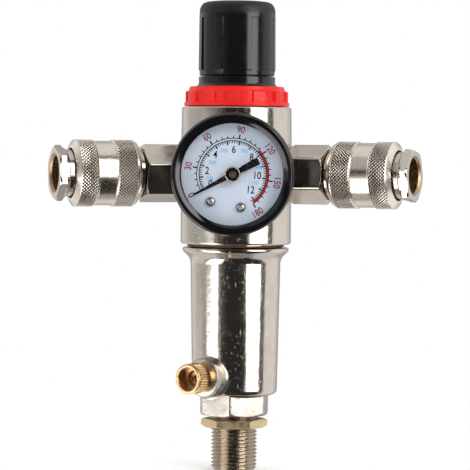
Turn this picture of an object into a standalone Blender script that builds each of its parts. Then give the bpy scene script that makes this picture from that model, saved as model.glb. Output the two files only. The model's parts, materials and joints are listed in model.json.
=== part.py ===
# Filter regulator with a gauge and two quick couplers.
# Origin at the centre of the nipple's lower end, +Z up along the body axis, gauge towards -Y.
# Lengths are in metres. MM turns the millimetre figures below into metres.

import math

import bmesh
import bpy
from mathutils import Matrix, Vector

MM = 0.001

# Clearance between neighbouring solids, and the wider one round moving shafts
GAP = 0.3 * MM
ROUND_FACETS = 24
SMALL_FACETS = 10

# Heights, from the nipple's lower end up. Each is the one below it and a length of its own.
NUT_Z0 = 15.6 * MM
NUT_THICK = 3.1 * MM
NUT_Z1 = NUT_Z0 + NUT_THICK
NUT_TO_BOSS = 1.5 * MM
BOSS_Z0 = NUT_Z1 + NUT_TO_BOSS
BOSS_TALL = 7.6 * MM
BOWL_FOOT_Z = BOSS_Z0 + BOSS_TALL
BOWL_FLOOR_THICK = 3.2 * MM
BOWL_FLOOR_Z = BOWL_FOOT_Z + BOWL_FLOOR_THICK
NIPPLE_TOP = BOWL_FLOOR_Z + 2.2 * MM
RISER_TALL = 9.0 * MM
RISER_TOP = BOWL_FLOOR_Z + RISER_TALL
DRAIN_ABOVE_FOOT = 7.0 * MM
DRAIN_Z = BOWL_FOOT_Z + DRAIN_ABOVE_FOOT
BOWL_LENGTH = 53.5 * MM
FLANGE_TOP = BOWL_FOOT_Z + BOWL_LENGTH
BOWL_TAPER_Z = FLANGE_TOP - 5.1 * MM
SEAL_THICK = 0.6 * MM
BODY_BOTTOM = FLANGE_TOP + SEAL_THICK + 2.0 * GAP
SPIGOT_TALL = 7.5 * MM
BOWL_TOP = BODY_BOTTOM + SPIGOT_TALL
HOLDER_LEDGE_Z = BOWL_TOP + 1.0 * MM
HOLDER_FLOOR_DROP = 6.5 * MM
HOLDER_FLOOR_Z = HOLDER_LEDGE_Z - HOLDER_FLOOR_DROP
HOLDER_CUP_Z0 = HOLDER_FLOOR_Z - 4.5 * MM
WEB_BOTTOM = HOLDER_LEDGE_Z + 6.0 * MM
WEB_THICK = 3.6 * MM
WEB_TOP = WEB_BOTTOM + WEB_THICK
CHAMBER_TALL = 16.7 * MM
DIAPHRAGM_LEDGE_Z = WEB_TOP + CHAMBER_TALL
PORT_Z = (WEB_TOP + DIAPHRAGM_LEDGE_Z) / 2.0 - 0.95 * MM
GAUGE_Z = PORT_Z + 0.2 * MM
BODY_RIM_TALL = 14.9 * MM
BODY_TOP = DIAPHRAGM_LEDGE_Z + BODY_RIM_TALL
RING_Z0 = BODY_TOP + GAP
RING_TALL = 7.1 * MM
RING_Z1 = RING_Z0 + RING_TALL
KNOB_LIFT = 3.9 * MM
KNOB_Z0 = RING_Z1 + KNOB_LIFT
KNOB_TALL = 27.1 * MM
KNOB_Z1 = KNOB_Z0 + KNOB_TALL
KNOB_ROOF = 3.0 * MM
TOWER_TOP = KNOB_Z1 - KNOB_ROOF - 7.6 * MM
BONNET_ROOF_THICK = 4.5 * MM
BONNET_ROOF_Z = TOWER_TOP - BONNET_ROOF_THICK
HUB_Z0 = TOWER_TOP + 1.0 * MM
SPRING_SEAT_Z0 = BONNET_ROOF_Z - 6.2 * MM

# Diaphragm, plate and main valve
DIAPHRAGM_THICK = 1.3 * MM
DIAPHRAGM_Z0 = DIAPHRAGM_LEDGE_Z + GAP
DIAPHRAGM_Z1 = DIAPHRAGM_Z0 + DIAPHRAGM_THICK
PLATE_THICK = 2.2 * MM
PLATE_Z0 = DIAPHRAGM_LEDGE_Z + 0.1 * MM
PLATE_TOP = PLATE_Z0 + PLATE_THICK
VALVE_STEM_TOP = PLATE_Z0 - 2.2 * MM
VALVE_HEAD_THICK = 3.2 * MM
VALVE_HEAD_Z0 = WEB_BOTTOM - GAP - VALVE_HEAD_THICK
VALVE_STEM_R = 1.5 * MM

# Radii of the core, from the valve seat outwards to the casting
SEAT_R = 4.0 * MM
SEAT_LAP = 1.2 * MM
VALVE_HEAD_R = SEAT_R + SEAT_LAP
CUP_WALL = 1.1 * MM
HOLDER_CUP_R = VALVE_HEAD_R + GAP + CUP_WALL
FILTER_BORE_R = HOLDER_CUP_R + 0.9 * MM
FILTER_WALL = 2.5 * MM
FILTER_R = FILTER_BORE_R + FILTER_WALL
BOWL_ROOM = 3.6 * MM
BOWL_CAVITY_R = FILTER_R + BOWL_ROOM
SPIGOT_WALL = 2.8 * MM
SPIGOT_R = BOWL_CAVITY_R + SPIGOT_WALL
BODY_WALL = 3.4 * MM
BODY_R = SPIGOT_R + GAP + BODY_WALL
HOLDER_LAND = 4.4 * MM
HOLDER_BORE_R = SPIGOT_R - HOLDER_LAND
CHAMBER_R = HOLDER_BORE_R - 0.5 * MM
BONNET_WALL = 4.0 * MM
BONNET_BORE_R = BODY_R - BONNET_WALL
BOLT_R = 2.4 * MM
PORT_REACH = 1.4 * MM
PORT_FACE_S = BODY_R + PORT_REACH
PORT_BOSS_R = 10.6 * MM
GAUGE_PORT_R = 5.1 * MM
GAUGE_BOSS_R = GAUGE_PORT_R + 2.9 * MM

# Bowl and nipple
FLANGE_R = BODY_R - 0.7 * MM
BOWL_WALL = 2.75 * MM
BOWL_R_TOP = BOWL_CAVITY_R + BOWL_WALL
BOWL_TAPER = 0.85 * MM
BOWL_R_BOTTOM = BOWL_R_TOP - BOWL_TAPER
NIPPLE_R = 8.33 * MM
BOSS_WALL = 3.07 * MM
BOSS_AF = 2.0 * (NIPPLE_R + GAP + BOSS_WALL)
BOSS_TURN_DEG = -5.7
NIPPLE_BORE_R = 4.6 * MM
RISER_WALL = 1.2 * MM
RISER_R = NIPPLE_BORE_R + RISER_WALL
NUT_WALL = 1.9 * MM
NUT_AF = 2.0 * (NIPPLE_R + GAP + NUT_WALL)
FILTER_Z0 = RISER_TOP + 11.7 * MM

# Drain. Its distances run outwards from the body axis.
DRAIN_SWING_DEG = -35.0
DRAIN_SHANK_R = 3.5 * MM
DRAIN_BOSS_WALL = 3.2 * MM
DRAIN_BOSS_R = DRAIN_SHANK_R + GAP + DRAIN_BOSS_WALL
DRAIN_FACE_S = BOWL_R_BOTTOM + 4.0 * MM
DRAIN_SEAT_S = DRAIN_FACE_S - 4.1 * MM
DRAIN_HEAD_R = DRAIN_SHANK_R + 2.0 * MM
DRAIN_HEAD_LENGTH = 8.3 * MM
DRAIN_END_S = DRAIN_FACE_S + GAP + DRAIN_HEAD_LENGTH

# Outlet couplers
COUPLER_SWING_DEG = 70.0
ADAPTER_AF = 19.0 * MM
ADAPTER_TURN_DEG = {"left": 17.0, "right": 26.5}
ADAPTER_LENGTH = 14.6 * MM
ADAPTER_S0 = PORT_FACE_S + GAP
ADAPTER_S1 = ADAPTER_S0 + ADAPTER_LENGTH
ADAPTER_THREAD_R = 6.58 * MM
PLUG_BORE_R = 6.25 * MM
BARREL_WALL = 2.15 * MM
BARREL_R = PLUG_BORE_R + BARREL_WALL
BARREL_THREAD_R = BARREL_R - 1.1 * MM
NOSE_R = BARREL_R + 1.7 * MM
NOSE_AF = NOSE_R * math.sqrt(3.0)
NOSE_TURN_DEG = {"left": 38.0, "right": 50.0}
BARREL_TAIL_S = ADAPTER_S1 - 9.4 * MM
SPRING_FLOOR_S = ADAPTER_S1 - 0.9 * MM
BARREL_FLANGE_S = ADAPTER_S1 + 4.2 * MM
BARREL_LENGTH = 27.7 * MM
NOSE_S = BARREL_FLANGE_S + BARREL_LENGTH
SLEEVE_S0 = BARREL_FLANGE_S - 2.0 * MM
SLEEVE_S1 = NOSE_S - 5.8 * MM
SLEEVE_BORE_R = NOSE_R + GAP
SLEEVE_WALL = 1.6 * MM
SLEEVE_R = SLEEVE_BORE_R + SLEEVE_WALL
SLEEVE_MID_R = SLEEVE_R - 0.45 * MM
SLEEVE_LIP_R = BARREL_R + 0.6 * MM
SLEEVE_SHOULDER_S = NOSE_S - 12.8 * MM
BALL_R = 1.5 * MM
BALL_S = NOSE_S - 10.1 * MM
BALL_OUT = PLUG_BORE_R + 0.85 * MM
VALVE_HEAD_S = NOSE_S - 17.8 * MM

# Spring, bonnet, ring, knob and screw
SPRING_MEAN_R = 7.6 * MM
SPRING_WIRE_R = 1.1 * MM
SPRING_BORE_R = SPRING_MEAN_R + SPRING_WIRE_R + 0.9 * MM
SPRING_PILOT_R = SPRING_MEAN_R - SPRING_WIRE_R - 0.6 * MM
PLATE_R = SPRING_MEAN_R + 1.5 * MM
TOWER_WALL = 1.6 * MM
TOWER_R = SPRING_BORE_R + TOWER_WALL
NECK_R = BONNET_BORE_R - 1.1 * MM
RING_R = NECK_R + GAP + 3.8 * MM
KEY_W = 3.0 * MM
KEY_DEPTH = 0.8 * MM
KNOB_WALL = 2.2 * MM
KNOB_R = TOWER_R + 0.5 * MM + KNOB_WALL
KNOB_FLUTES = 8
KNOB_FLUTE_TURN_DEG = 30.7
KNOB_FLUTE_DEPTH = 0.45 * MM
KNOB_FLUTE_R = KNOB_R - KNOB_FLUTE_DEPTH
KNOB_FLUTE_W = 3.5 * MM
SCREW_R = 3.0 * MM
SCREW_HEX_AF = 5.0 * MM
HUB_R = SCREW_R + 2.2 * MM

# Gauge. Its distances run outwards from the body axis, each from the piece behind it.
GAUGE_NECK = 5.5 * MM
CASE_BACK_Y = PORT_FACE_S + GAUGE_NECK
CASE_WALL = 1.0 * MM
BAR_Y0 = CASE_BACK_Y + CASE_WALL + 0.6 * MM
BAR_THICK = 2.3 * MM
TUBE_HALF = 2.3 * MM
TUBE_MID = BAR_Y0 + BAR_THICK + GAP + TUBE_HALF
DIAL_RISE = 4.9 * MM
DIAL_Y = TUBE_MID + DIAL_RISE
DIAL_THICK = 0.5 * MM
NEEDLE_Y = DIAL_Y + 2.8 * MM
LENS_Y = NEEDLE_Y + 2.1 * MM
LENS_THICK = 1.5 * MM
CASE_RIM_Y = LENS_Y - GAP
BEZEL_FRONT_Y = LENS_Y + LENS_THICK + 1.7 * MM
MOVEMENT_OUTLINE = [
    (-9.4 * MM, -9.4 * MM),
    (-8.8 * MM, -10.6 * MM),
    (-6.0 * MM, -12.2 * MM),
    (3.8 * MM, -13.2 * MM),
    (6.8 * MM, -11.8 * MM),
    (7.4 * MM, -5.0 * MM),
    (3.0 * MM, 4.0 * MM),
    (-9.4 * MM, 4.0 * MM),
]
MOVEMENT_R = max(math.hypot(x, z) for x, z in MOVEMENT_OUTLINE)
TUBE_ROOM = 1.423 * MM
TUBE_MEAN_R = MOVEMENT_R + TUBE_ROOM
TUBE_TO_CASE = 4.7 * MM
CASE_R = TUBE_MEAN_R + TUBE_TO_CASE
BEZEL_R = CASE_R + 1.75 * MM
BEZEL_OPENING_R = CASE_R - 1.95 * MM
DIAL_R = CASE_R - 1.5 * MM
NEEDLE_TIP = DIAL_R - 1.6 * MM
NEEDLE_TAIL = 9.7 * MM
NEEDLE_REST_DEG = 208.0
DIAL_SCREWS = {"left": (-7.7 * MM, -9.65 * MM), "right": (2.9 * MM, -11.6 * MM)}
ARBOR_R = 0.6 * MM
PINION_R = 1.4 * MM
SECTOR_PIVOT = (4.6 * MM, -8.65 * MM)
SECTOR_R = math.hypot(*SECTOR_PIVOT) - PINION_R - GAP
SECTOR_SWING_DEG = 50.0
TAIL_ARM = 3.5 * MM
TAIL_REST_DEG = -65.0
TUBE_START_DEG = -85.0
TUBE_SWEEP_DEG = -270.0

for old in list(bpy.data.objects):
    bpy.data.objects.remove(old, do_unlink=True)

scene = bpy.context.scene
scene.unit_settings.system = "METRIC"
scene.unit_settings.scale_length = 1.0


def material(name, colour, metallic, roughness):
    made = bpy.data.materials.new(name)
    made.use_nodes = True
    shader = made.node_tree.nodes["Principled BSDF"]
    shader.inputs["Base Color"].default_value = (*colour, 1.0)
    shader.inputs["Metallic"].default_value = metallic
    shader.inputs["Roughness"].default_value = roughness
    made.diffuse_color = (*colour, 1.0)
    return made


NICKEL = material("nickel", (0.75, 0.72, 0.66), 1.0, 0.2)
STEEL = material("spring_steel", (0.45, 0.45, 0.46), 1.0, 0.35)
BRASS = material("brass", (0.83, 0.62, 0.28), 1.0, 0.25)
PALE_BRASS = material("pale_brass", (0.78, 0.70, 0.50), 1.0, 0.25)
BRONZE = material("sintered_bronze", (0.55, 0.40, 0.24), 0.8, 0.8)
BLACK = material("black_plastic", (0.02, 0.02, 0.022), 0.0, 0.2)
RED = material("red_plastic", (0.80, 0.03, 0.02), 0.0, 0.3)
RUBBER = material("black_rubber", (0.03, 0.03, 0.03), 0.0, 0.7)
BROWN = material("brown_rubber", (0.22, 0.13, 0.08), 0.0, 0.6)
WHITE = material("white_dial", (0.85, 0.90, 0.93), 0.0, 0.5)
CLEAR = material("clear_lens", (0.9, 0.95, 0.97), 0.0, 0.05)


def along(swing_deg, height):
    """Matrix whose local Z runs outwards and level, at an angle from -Y, with +X as the positive side."""
    turn = math.radians(swing_deg)
    out = Vector((math.sin(turn), -math.cos(turn), 0.0))
    side = Vector((math.cos(turn), math.sin(turn), 0.0))
    up = out.cross(side)
    frame = Matrix((side, up, out)).transposed().to_4x4()
    return Matrix.Translation((0.0, 0.0, height)) @ frame


FRONT = along(0.0, GAUGE_Z)


def finish(name, work, look, matrix, helper, smooth):
    bmesh.ops.recalc_face_normals(work, faces=work.faces)
    mesh = bpy.data.meshes.new(name)
    work.to_mesh(mesh)
    work.free()
    if smooth:
        mesh.shade_smooth()
    made = bpy.data.objects.new(name, mesh)
    scene.collection.objects.link(made)
    made.matrix_world = matrix or Matrix.Identity(4)
    if look is not None:
        mesh.materials.append(look)
    if helper:
        made.hide_render = True
        made.display_type = "WIRE"
    return made


def lathe(name, profile, look=None, matrix=None, around=ROUND_FACETS, helper=False, turn=0.0):
    """Solid of revolution about local Z from a closed (radius, height) outline."""
    work = bmesh.new()
    rings = []
    for radius, height in profile:
        if radius < 1e-9:
            rings.append([work.verts.new((0.0, 0.0, height))])
            continue
        ring = []
        for step in range(around):
            angle = turn + 2.0 * math.pi * step / around
            ring.append(work.verts.new((radius * math.cos(angle), radius * math.sin(angle), height)))
        rings.append(ring)
    for index, ring in enumerate(rings):
        other = rings[(index + 1) % len(rings)]
        if len(ring) == 1 and len(other) == 1:
            continue
        for step in range(around):
            after = (step + 1) % around
            corners = [ring[step % len(ring)], ring[after % len(ring)]]
            corners += [other[after % len(other)], other[step % len(other)]]
            unique = list(dict.fromkeys(corners))
            work.faces.new(unique)
    return finish(name, work, look, matrix, helper, False)


def prism(name, outline, low, high, look=None, matrix=None, helper=False):
    """Straight solid between two heights over a flat outline."""
    work = bmesh.new()
    below = [work.verts.new((x, y, low)) for x, y in outline]
    above = [work.verts.new((x, y, high)) for x, y in outline]
    count = len(outline)
    for step in range(count):
        after = (step + 1) % count
        work.faces.new((below[step], below[after], above[after], above[step]))
    work.faces.new(list(reversed(below)))
    work.faces.new(above)
    return finish(name, work, look, matrix, helper, False)


def hexagon(across_flats, turn_deg=0.0):
    """Corners of a hexagon with one corner on local +X before the turn."""
    radius = across_flats / math.sqrt(3.0)
    corners = []
    for step in range(6):
        angle = math.radians(turn_deg + 60.0 * step)
        corners.append((radius * math.cos(angle), radius * math.sin(angle)))
    return corners


def rectangle(x0, x1, y0, y1):
    return [(x0, y0), (x1, y0), (x1, y1), (x0, y1)]


def rod(name, radius, low, high, matrix=None, around=SMALL_FACETS):
    """Cylinder used as a cutter."""
    outline = [(0.0, low), (radius, low), (radius, high), (0.0, high)]
    return lathe(name, outline, matrix=matrix, around=around, helper=True)


def tube_along(name, points, ups, shape, look, matrix=None):
    """Closed solid that carries a flat cross-section along a run of points."""
    work = bmesh.new()
    rings = []
    for index, point in enumerate(points):
        before = points[max(index - 1, 0)]
        after = points[min(index + 1, len(points) - 1)]
        ahead = (after - before).normalized()
        up = ups[index]
        side = ahead.cross(up).normalized()
        up = side.cross(ahead).normalized()
        rings.append([work.verts.new(point + side * a + up * b) for a, b in shape])
    count = len(shape)
    for low, high in zip(rings, rings[1:]):
        for step in range(count):
            after = (step + 1) % count
            work.faces.new((low[step], low[after], high[after], high[step]))
    work.faces.new(rings[0])
    work.faces.new(list(reversed(rings[-1])))
    return finish(name, work, look, matrix, False, False)


def coil(name, mean_r, wire_r, low, high, turns, look, matrix=None, steps=14, sides=6):
    """Compression spring with a closed turn at each end, between two heights."""
    points = []
    ups = []
    total = int(turns * steps)
    bottom = low + wire_r
    top = high - wire_r
    end_rise = 2.0 * wire_r + 0.2 * MM
    for index in range(total + 1):
        turn = index / steps
        if turn <= 1.0:
            height = bottom + end_rise * turn
        elif turn >= turns - 1.0:
            height = top - end_rise * (turns - turn)
        else:
            share = (turn - 1.0) / (turns - 2.0)
            height = bottom + end_rise + (top - bottom - 2.0 * end_rise) * share
        angle = 2.0 * math.pi * turn
        points.append(Vector((mean_r * math.cos(angle), mean_r * math.sin(angle), height)))
        ups.append(Vector((0.0, 0.0, 1.0)))
    shape = []
    for side in range(sides):
        angle = 2.0 * math.pi * side / sides
        shape.append((wire_r * math.cos(angle), wire_r * math.sin(angle)))
    return tube_along(name, points, ups, shape, look, matrix)


def boolean(target, other, operation):
    step = target.modifiers.new(f"{operation.lower()}_{len(target.modifiers)}", "BOOLEAN")
    step.operation = operation
    step.solver = "EXACT"
    step.object = other
    return target


def cut(target, *cutters):
    for cutter in cutters:
        boolean(target, cutter, "DIFFERENCE")
    return target


def add(target, *extras):
    for extra in extras:
        boolean(target, extra, "UNION")
    return target


def keep(target, common):
    return boolean(target, common, "INTERSECT")


# Body: one casting with stepped bores, two side ports and a front port
body = lathe(
    "body",
    [
        (SPIGOT_R + GAP, BODY_BOTTOM),
        (BODY_R - 0.5 * MM, BODY_BOTTOM),
        (BODY_R, BODY_BOTTOM + 0.5 * MM),
        (BODY_R, DIAPHRAGM_LEDGE_Z + 2.7 * MM),
        (BODY_R - 0.2 * MM, BODY_TOP - 0.5 * MM),
        (BODY_R - 0.6 * MM, BODY_TOP),
        (BONNET_BORE_R, BODY_TOP),
        (BONNET_BORE_R, DIAPHRAGM_LEDGE_Z),
        (CHAMBER_R, DIAPHRAGM_LEDGE_Z),
        (CHAMBER_R, WEB_TOP),
        (SEAT_R + 1.2 * MM, WEB_TOP),
        (SEAT_R, WEB_TOP - 1.2 * MM),
        (SEAT_R, WEB_BOTTOM),
        (SEAT_R + 0.8 * MM, WEB_BOTTOM),
        (SEAT_R + 0.8 * MM, WEB_BOTTOM + 0.5 * MM),
        (SEAT_R + 2.4 * MM, WEB_BOTTOM + 0.5 * MM),
        (HOLDER_BORE_R, WEB_BOTTOM + 0.5 * MM),
        (HOLDER_BORE_R, HOLDER_LEDGE_Z),
        (SPIGOT_R + GAP, HOLDER_LEDGE_Z),
    ],
    NICKEL,
)

SIDES = {"left": -1.0, "right": 1.0}
for side, sign in SIDES.items():
    port = along(sign * COUPLER_SWING_DEG, PORT_Z)
    boss = lathe(
        f"{side}_port_boss",
        [
            (0.0, BODY_R - 3.5 * MM),
            (PORT_BOSS_R, BODY_R - 3.5 * MM),
            (PORT_BOSS_R, PORT_FACE_S - 0.5 * MM),
            (PORT_BOSS_R - 0.5 * MM, PORT_FACE_S),
            (0.0, PORT_FACE_S),
        ],
        matrix=port,
        around=14,
        helper=True,
    )
    add(body, boss)
front_boss = lathe(
    "front_port_boss",
    [
        (0.0, BODY_R - 3.5 * MM),
        (GAUGE_BOSS_R, BODY_R - 3.5 * MM),
        (GAUGE_BOSS_R, PORT_FACE_S),
        (0.0, PORT_FACE_S),
    ],
    matrix=FRONT,
    around=14,
    helper=True,
)
add(body, front_boss)
for side, sign in SIDES.items():
    port = along(sign * COUPLER_SWING_DEG, PORT_Z)
    cut(body, rod(f"{side}_port_cutter", ADAPTER_THREAD_R + GAP, 5.0 * MM, PORT_FACE_S + 3.5 * MM, port))
cut(body, rod("gauge_port_cutter", GAUGE_PORT_R, 5.0 * MM, PORT_FACE_S + 3.5 * MM, FRONT))

# Bonnet: threaded skirt, neck under the ring, and the tower inside the knob
bonnet = lathe(
    "bonnet",
    [
        (BONNET_BORE_R - 3.1 * MM, DIAPHRAGM_Z1 + GAP),
        (BONNET_BORE_R - GAP, DIAPHRAGM_Z1 + GAP),
        (BONNET_BORE_R - GAP, BODY_TOP - 0.4 * MM),
        (NECK_R, BODY_TOP - 0.4 * MM),
        (NECK_R, RING_Z1 + 0.1 * MM),
        (NECK_R - 0.6 * MM, RING_Z1 + 0.4 * MM),
        (NECK_R - 1.1 * MM, RING_Z1 + 1.0 * MM),
        (NECK_R - 1.1 * MM, KNOB_Z0 - GAP),
        (TOWER_R, KNOB_Z0 - GAP),
        (TOWER_R, TOWER_TOP - 0.6 * MM),
        (TOWER_R - 0.6 * MM, TOWER_TOP),
        (SCREW_R + GAP, TOWER_TOP),
        (SCREW_R + GAP, BONNET_ROOF_Z),
        (SPRING_BORE_R, BONNET_ROOF_Z),
        (SPRING_BORE_R, DIAPHRAGM_Z1 + 5.1 * MM),
        (BONNET_BORE_R - 3.1 * MM, DIAPHRAGM_Z1 + 2.1 * MM),
    ],
    BLACK,
)
half_key = KEY_W / 2.0 + GAP
for side, sign in SIDES.items():
    low = sign * (SPRING_BORE_R - 2.0 * MM)
    high = sign * (SPRING_BORE_R + KEY_DEPTH)
    outline = rectangle(min(low, high), max(low, high), -half_key, half_key)
    cut(bonnet, prism(f"{side}_key_cutter", outline, BONNET_ROOF_Z - 15.5 * MM, BONNET_ROOF_Z - 1.5 * MM, helper=True))

lock_ring = lathe(
    "lock_ring",
    [
        (NECK_R + GAP, RING_Z0),
        (RING_R, RING_Z0),
        (RING_R, RING_Z0 + 1.4 * MM),
        (RING_R - 0.45 * MM, RING_Z0 + 1.7 * MM),
        (RING_R - 0.45 * MM, RING_Z1 - 1.6 * MM),
        (RING_R - 1.9 * MM, RING_Z1),
        (NECK_R + GAP, RING_Z1),
    ],
    RED,
)
for step in range(12):
    angle = 13.5 + 30.0 * step
    slot = rectangle(-2.4 * MM, 2.4 * MM, RING_R - 1.35 * MM, RING_R + 0.9 * MM)
    turn = Matrix.Rotation(math.radians(angle), 4, "Z")
    cut(lock_ring, prism(f"ring_slot_{step}_cutter", slot, RING_Z0 + 1.5 * MM, RING_Z1 + 1.4 * MM, matrix=turn, helper=True))

# Knob: cap with eight raised grips, and a six-sided hub that slides on the screw
knob = lathe(
    "adjusting_knob",
    [
        (0.0, HUB_Z0),
        (HUB_R, HUB_Z0),
        (HUB_R, KNOB_Z1 - KNOB_ROOF),
        (TOWER_R + 0.5 * MM, KNOB_Z1 - KNOB_ROOF),
        (TOWER_R + 0.5 * MM, KNOB_Z0),
        (KNOB_R - 0.6 * MM, KNOB_Z0),
        (KNOB_R - 0.25 * MM, KNOB_Z0 + 0.3 * MM),
        (KNOB_R - 0.25 * MM, KNOB_Z0 + 1.8 * MM),
        (KNOB_R + 0.1 * MM, KNOB_Z0 + 2.3 * MM),
        (KNOB_R - 0.1 * MM, KNOB_Z1 - 4.0 * MM),
        (KNOB_R - 0.3 * MM, KNOB_Z1 - 2.4 * MM),
        (KNOB_R - 1.1 * MM, KNOB_Z1 - 1.0 * MM),
        (KNOB_R - 2.7 * MM, KNOB_Z1 - 0.25 * MM),
        (KNOB_R - 5.0 * MM, KNOB_Z1 - 0.05 * MM),
        (0.0, KNOB_Z1),
    ],
    BLACK,
)
for step in range(KNOB_FLUTES):
    turn = Matrix.Rotation(math.radians(KNOB_FLUTE_TURN_DEG + 360.0 / KNOB_FLUTES * step), 4, "Z")
    slot = rectangle(-KNOB_FLUTE_W / 2.0, KNOB_FLUTE_W / 2.0, -KNOB_R - 2.0 * MM, -KNOB_FLUTE_R)
    flute = prism(f"knob_flute_{step}_cutter", slot, KNOB_Z0 + 1.5 * MM, KNOB_Z1 - 6.2 * MM, matrix=turn, helper=True)
    cut(knob, flute)
hub_bore = hexagon(SCREW_HEX_AF + 2.0 * GAP)
cut(knob, prism("hub_bore_cutter", hub_bore, HUB_Z0 - 1.0 * MM, KNOB_Z1 - 1.7 * MM, helper=True))

adjusting_screw = lathe(
    "adjusting_screw",
    [
        (0.0, BONNET_ROOF_Z - 21.5 * MM),
        (SCREW_R - 0.5 * MM, BONNET_ROOF_Z - 21.5 * MM),
        (SCREW_R, BONNET_ROOF_Z - 21.0 * MM),
        (SCREW_R, BONNET_ROOF_Z - 1.9 * MM),
        (6.0 * MM, BONNET_ROOF_Z - 1.9 * MM),
        (6.0 * MM, BONNET_ROOF_Z - GAP),
        (SCREW_R, BONNET_ROOF_Z - GAP),
        (SCREW_R, TOWER_TOP + 0.2 * MM),
        (0.0, TOWER_TOP + 0.2 * MM),
    ],
    STEEL,
    around=SMALL_FACETS,
)
screw_drive = prism("screw_drive", hexagon(SCREW_HEX_AF), TOWER_TOP - 2.0 * MM, KNOB_Z1 - 2.1 * MM, helper=True)
add(adjusting_screw, screw_drive)

spring_seat = lathe(
    "spring_seat",
    [
        (SCREW_R + GAP, SPRING_SEAT_Z0),
        (SPRING_PILOT_R - 0.3 * MM, SPRING_SEAT_Z0 - 1.6 * MM),
        (SPRING_PILOT_R, SPRING_SEAT_Z0),
        (SPRING_BORE_R - GAP, SPRING_SEAT_Z0),
        (SPRING_BORE_R - GAP, SPRING_SEAT_Z0 + 3.9 * MM),
        (SCREW_R + GAP, SPRING_SEAT_Z0 + 3.9 * MM),
    ],
    BRASS,
    around=14,
)
key = rectangle(-SPRING_BORE_R - KEY_DEPTH + GAP, SPRING_BORE_R + KEY_DEPTH - GAP, -KEY_W / 2.0, KEY_W / 2.0)
key_bar = prism("seat_key", key, SPRING_SEAT_Z0 + 0.3 * MM, SPRING_SEAT_Z0 + 3.5 * MM, helper=True)
add(spring_seat, key_bar)
cut(spring_seat, rod("seat_bore_cutter", SCREW_R + GAP, SPRING_SEAT_Z0 - 4.3 * MM, BONNET_ROOF_Z + 0.5 * MM))

main_spring = coil(
    "main_spring",
    SPRING_MEAN_R,
    SPRING_WIRE_R,
    PLATE_TOP + GAP,
    SPRING_SEAT_Z0 - GAP,
    5.0,
    STEEL,
    steps=12,
    sides=4,
)

# Diaphragm group
diaphragm = lathe(
    "diaphragm",
    [
        (PLATE_R + GAP, DIAPHRAGM_Z0),
        (BONNET_BORE_R - GAP, DIAPHRAGM_Z0),
        (BONNET_BORE_R - GAP, DIAPHRAGM_Z1),
        (PLATE_R + 3.5 * MM, DIAPHRAGM_Z1),
        (PLATE_R + 2.5 * MM, DIAPHRAGM_Z1 + 0.7 * MM),
        (PLATE_R + 1.3 * MM, DIAPHRAGM_Z1 + 0.7 * MM),
        (PLATE_R + GAP, DIAPHRAGM_Z1),
    ],
    RUBBER,
)
diaphragm_plate = lathe(
    "diaphragm_plate",
    [
        (2.6 * MM, PLATE_Z0),
        (PLATE_R, PLATE_Z0),
        (PLATE_R, PLATE_TOP),
        (SPRING_PILOT_R, PLATE_TOP),
        (SPRING_PILOT_R - 0.4 * MM, PLATE_TOP + 2.8 * MM),
        (2.6 * MM, PLATE_TOP + 2.8 * MM),
    ],
    BRASS,
    around=14,
)
diaphragm_nut = lathe(
    "diaphragm_nut",
    [
        (1.0 * MM, PLATE_Z0 - 1.9 * MM),
        (6.0 * MM, PLATE_Z0 - 1.9 * MM),
        (6.0 * MM, PLATE_Z0 - GAP),
        (2.3 * MM, PLATE_Z0 - GAP),
        (2.3 * MM, PLATE_TOP + 2.0 * MM),
        (1.0 * MM, PLATE_TOP + 2.0 * MM),
    ],
    BRASS,
    around=SMALL_FACETS,
)

# Main valve, its spring and the cage that holds them
main_valve = lathe(
    "main_valve",
    [
        (0.0, WEB_BOTTOM - 9.0 * MM),
        (1.3 * MM, WEB_BOTTOM - 9.0 * MM),
        (1.3 * MM, VALVE_HEAD_Z0),
        (VALVE_HEAD_R, VALVE_HEAD_Z0),
        (VALVE_HEAD_R, WEB_BOTTOM - 1.4 * MM),
        (VALVE_HEAD_R - 0.4 * MM, WEB_BOTTOM - GAP),
        (VALVE_STEM_R + 0.8 * MM, WEB_BOTTOM - GAP),
        (VALVE_STEM_R, WEB_BOTTOM + 1.0 * MM),
        (VALVE_STEM_R, VALVE_STEM_TOP - 1.4 * MM),
        (0.0, VALVE_STEM_TOP),
    ],
    BRASS,
    around=SMALL_FACETS,
)
main_valve_spring = coil(
    "main_valve_spring",
    3.4 * MM,
    0.4 * MM,
    HOLDER_FLOOR_Z + GAP,
    VALVE_HEAD_Z0 - GAP,
    5.0,
    STEEL,
    steps=8,
    sides=4,
)
valve_holder = lathe(
    "valve_holder",
    [
        (0.0, HOLDER_FLOOR_Z),
        (VALVE_HEAD_R + GAP, HOLDER_FLOOR_Z),
        (VALVE_HEAD_R + GAP, HOLDER_LEDGE_Z + 2.0 * MM),
        (HOLDER_BORE_R - GAP, HOLDER_LEDGE_Z + 2.0 * MM),
        (HOLDER_BORE_R - GAP, HOLDER_LEDGE_Z),
        (HOLDER_CUP_R, HOLDER_LEDGE_Z),
        (HOLDER_CUP_R, HOLDER_CUP_Z0),
        (BOLT_R + GAP, HOLDER_CUP_Z0),
        (BOLT_R + GAP, HOLDER_FLOOR_Z - 1.1 * MM),
        (0.0, HOLDER_FLOOR_Z - 1.1 * MM),
    ],
    BLACK,
    around=14,
)
window_out = (HOLDER_CUP_R + HOLDER_BORE_R) / 2.0 - 0.1 * MM
for step in range(6):
    angle = math.radians(60.0 * step + 13.0)
    place = Matrix.Translation((window_out * math.cos(angle), window_out * math.sin(angle), 0.0))
    cut(valve_holder, rod(f"holder_window_{step}_cutter", 1.6 * MM, HOLDER_LEDGE_Z - 1.0 * MM, HOLDER_LEDGE_Z + 3.0 * MM, place, 8))

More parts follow.
